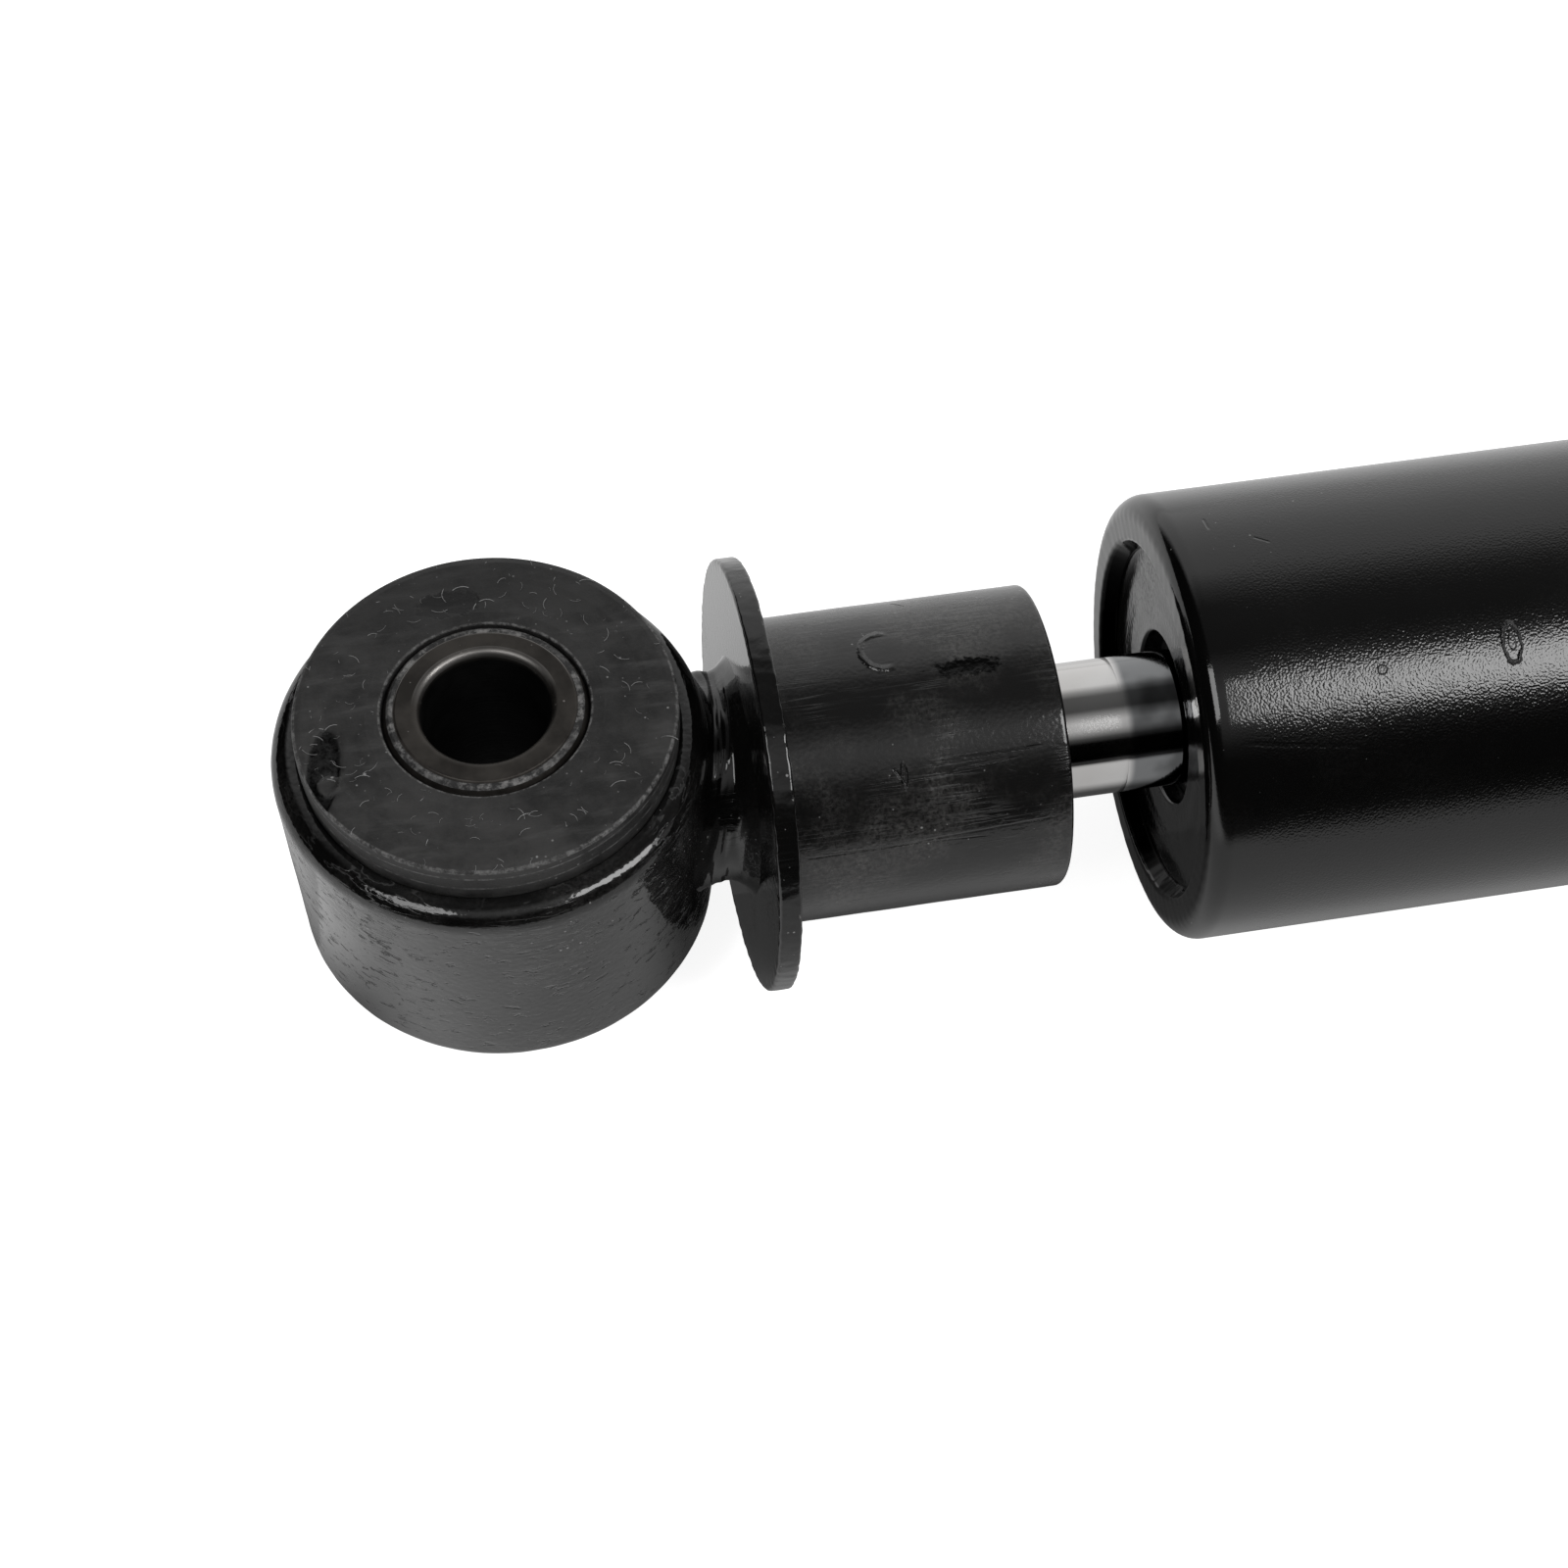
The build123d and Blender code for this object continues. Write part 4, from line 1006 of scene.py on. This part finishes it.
def lint_tree():
    """Fine curled fibres strewn over a flat ring."""
    sizes = {"Inner": 0.0095, "Outer": 0.0161, "Height": 0.0157, "Centre": 0.0, "Density": 430000.0,
             "Length": 0.0011, "Thickness": 0.000022}
    tree, given, end = growing_tree("lint", sizes)
    seed = tree.interface.new_socket(name="Seed", in_out="INPUT", socket_type="NodeSocketInt")
    seed.default_value = 4
    sheet = {"Vertices": 96, "Radius": given["Outer"]}
    disc = node(tree, "GeometryNodeMeshCircle", sheet, fill_type="NGON")
    strewn = node(tree, "GeometryNodeDistributePointsOnFaces",
                  {"Mesh": disc.outputs[0], "Density": given["Density"], "Seed": given["Seed"]})
    spot = tree.nodes.new("GeometryNodeInputPosition").outputs[0]
    inside = maths(tree, "LESS_THAN", vector_maths(tree, "LENGTH", spot), given["Inner"])
    kept = node(tree, "GeometryNodeDeleteGeometry",
                {"Geometry": strewn.outputs["Points"], "Selection": inside})
    fibre = node(tree, "GeometryNodeCurveQuadraticBezier", {"Resolution": 6})
    half = times(tree, given["Length"], 0.5)
    bow = times(tree, given["Length"], 0.35)
    back = times(tree, given["Length"], -0.5)
    for socket, x, y in (("Start", back, 0.0), ("Middle", 0.0, bow), ("End", half, 0.0)):
        joined = node(tree, "ShaderNodeCombineXYZ", {"X": x, "Y": y})
        tree.links.new(joined.outputs[0], fibre.inputs[socket])
    round_section = {"Resolution": 3, "Radius": given["Thickness"]}
    section = node(tree, "GeometryNodeCurvePrimitiveCircle", round_section)
    hair = node(tree, "GeometryNodeCurveToMesh",
                {"Curve": fibre.outputs[0], "Profile Curve": section.outputs["Curve"], "Fill Caps": True})
    turn = node(tree, "FunctionNodeRandomValue", {"Seed": given["Seed"]}, data_type="FLOAT_VECTOR")
    turn.inputs[0].default_value = (-0.1, -0.1, 0.0)
    turn.inputs[1].default_value = (0.1, 0.1, 2 * math.pi)
    size = node(tree, "FunctionNodeRandomValue", {"Seed": given["Seed"]}, data_type="FLOAT")
    size.inputs[2].default_value = 0.12
    size.inputs[3].default_value = 1.35
    placed = node(tree, "GeometryNodeInstanceOnPoints",
                  {"Points": kept.outputs[0], "Instance": hair.outputs[0], "Rotation": turn.outputs[0],
                   "Scale": size.outputs[1]})
    place = node(tree, "ShaderNodeCombineXYZ", {"X": given["Centre"], "Z": given["Height"]}).outputs[0]
    put_down(tree, given, end, placed.outputs[0], place)
    return tree


lint = lint_tree()
eyes = (("rod_eye", 0.0, "rod", 4), ("base_eye", EYE_TO_EYE, "cylinder", 9))
for prefix, centre_x, body_name, seed in eyes:
    fibres = grown(prefix + "_lint", lint, "lint", Centre=centre_x * MM, Seed=seed)
    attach(fibres, body_name)

bead = grown("base_weld_bead", bead_tree(), "body_paint", Ring=BASE_R * MM, Section=0.00095, Ripples=88.0,
             Place=0.24265)
stands_for(bead, "cylinder", "black_paint", "base_cap_weld")


# Finishes of the model's own pieces, by their slot

inner = {
    "rubber": "rod_seal guide_seal_ring rebound_bumper",
    "spring_steel": "seal_garter_spring piston_check_spring piston_check_plate rebound_shims "
                    "base_check_plate base_check_spring compression_shims",
    "bare_steel": "seal_washer pressure_tube rebound_stop_plate piston_check_guide piston_washer "
                  "piston_nut base_valve_pin",
    "sintered_iron": "rod_guide piston_body base_valve_body",
    "lined_bronze": "guide_bush",
    "band_plastic": "piston_band",
}
for finish, names in inner.items():
    for name in names.split():
        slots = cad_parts[name].material_slots
        if not slots:
            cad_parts[name].data.materials.append(finishes[finish])
        for slot in slots:
            slot.material = finishes[finish]


# Studio

FLOOR_HALF = 6.0
FLOOR_GAP = 0.00005   # between the floor and the part, in metres


def studio_floor():
    """Wide pale floor. The camera sees it as white; gloss sees painted light and shade on it: a painted
    shadow under the part, darkness far in front, and set brightness levels in front and behind.
    """
    size, low = FLOOR_HALF, cad_box[0][2] - FLOOR_GAP
    mesh = bpy.data.meshes.new("studio_floor")
    corners = [(-size, -size, low), (size, -size, low), (size, size, low), (-size, size, low)]
    mesh.from_pydata(corners, [], [(0, 1, 2, 3)])
    material = bpy.data.materials.new("studio_floor")
    tree = empty_nodes(material)
    ray = tree.nodes.new("ShaderNodeLightPath")
    glossy = ray.outputs["Is Glossy Ray"]
    colour = blend_colour(tree, glossy, grey(0.62), grey(0.30))
    place = tree.nodes.new("ShaderNodeTexCoord").outputs["Object"]
    along, across = axis_of(tree, place, "X"), axis_of(tree, place, "Y")
    # Painted shadow: gloss rays see the floor dark under the part and far in front.
    off_axis = maths(tree, "ABSOLUTE", minus(tree, across, 0.002))
    under = times(tree, spread(tree, off_axis, 0.010, 0.025, 1.0, 0.0), spread(tree, along, -0.030, -0.018))
    shade = minus(tree, 1.0, times(tree, under, 0.85))
    shade = times(tree, shade, spread(tree, across, -0.22, -0.10))
    unlit = times(tree, glossy, minus(tree, 1.0, shade))
    matt = node(tree, "ShaderNodeBsdfDiffuse", {"Color": blend_colour(tree, unlit, colour, grey(0.03))})
    # Painted light for gloss rays: set brightness levels in front of the part and behind it.
    front = spread(tree, along, -0.025, 0.02, 0.85, 0.37)
    back = spread(tree, across, 0.06, 0.10, 0.50, 0.66)
    behind = maths(tree, "GREATER_THAN", across, 0.0)
    clear = maths(tree, "MULTIPLY_ADD", minus(tree, back, front), behind, front)
    clear = times(tree, clear, shade)
    lift = times(tree, ray.outputs["Is Camera Ray"], 0.86)
    lift = maths(tree, "MULTIPLY_ADD", glossy, clear, lift)
    glow = node(tree, "ShaderNodeEmission", {"Color": (1, 1, 1, 1), "Strength": lift})
    total = node(tree, "ShaderNodeAddShader", {0: matt.outputs[0], 1: glow.outputs[0]})
    output = tree.nodes.new("ShaderNodeOutputMaterial")
    tree.links.new(total.outputs[0], output.inputs["Surface"])
    mesh.materials.append(material)
    floor = bpy.data.objects.new("studio_floor", mesh)
    put_in_scene(floor)


def softbox(name, direction, across, along, radiance):
    """An area light a metre from the object, facing it, with its length laid along X."""
    data = bpy.data.lights.new(name, "AREA")
    data.shape = "RECTANGLE"
    data.size, data.size_y = along, across
    data.energy = radiance * math.pi * along * across
    lamp = bpy.data.objects.new(name, data)
    away = Vector(direction).normalized()
    side = (Vector((1, 0, 0)) - away * away.x).normalized()
    turn = Matrix((side, away.cross(side), away)).transposed().to_4x4()
    target = Vector((0.05, 0, 0))
    lamp.matrix_world = Matrix.Translation(target + away) @ turn
    put_in_scene(lamp)


def studio_walls():
    """The room that the gloss shows: pale wall behind, dim ceiling, dark in front."""
    world = bpy.data.worlds.new("studio")
    bpy.context.scene.world = world
    tree = empty_nodes(world)
    towards = tree.nodes.new("ShaderNodeTexCoord").outputs["Generated"]
    heading = node(tree, "ShaderNodeSeparateXYZ", {0: towards})
    turn = maths(tree, "ARCTAN2", heading.outputs["Z"], heading.outputs["Y"])
    share = maths(tree, "MULTIPLY_ADD", turn, 1 / (2 * math.pi), 0.5)
    ramp = node(tree, "ShaderNodeValToRGB", {"Fac": share})
    levels = {-180: 0.0, -60: 1.0, 0: 1.0, 50: 0.85, 60: 0.38, 70: 0.12, 95: 0.08, 104: 0.3, 116: 0.62,
              128: 0.5, 142: 0.07, 150: 0.0, 179: 0.0}
    stops = ramp.color_ramp.elements
    for k, (angle, level) in enumerate(levels.items()):
        stop = stops[k] if k < 2 else stops.new(1.0)
        stop.position = (angle + 180) / 360
        stop.color = (level, level, level, 1)
    left = spread(tree, heading.outputs["X"], -0.55, -0.3)
    room = blend_colour(tree, left, grey(0.0), ramp.outputs["Color"])
    ray = tree.nodes.new("ShaderNodeLightPath")
    seen = blend_colour(tree, ray.outputs["Is Glossy Ray"], grey(0.45), room)
    seen = blend_colour(tree, ray.outputs["Is Camera Ray"], seen, grey(1.0))
    glow = node(tree, "ShaderNodeBackground", {"Color": seen, "Strength": 1.0})
    output = tree.nodes.new("ShaderNodeOutputWorld")
    tree.links.new(glow.outputs[0], output.inputs["Surface"])


studio_floor()
softbox("right_softbox", (0.55, -0.42, 0.72), 0.35, 0.6, 8.1)
softbox("left_softbox", (-0.52, -0.36, 0.78), 0.42, 0.4, 5.0)
studio_walls()

bpy.context.scene.view_settings.view_transform = "Standard"
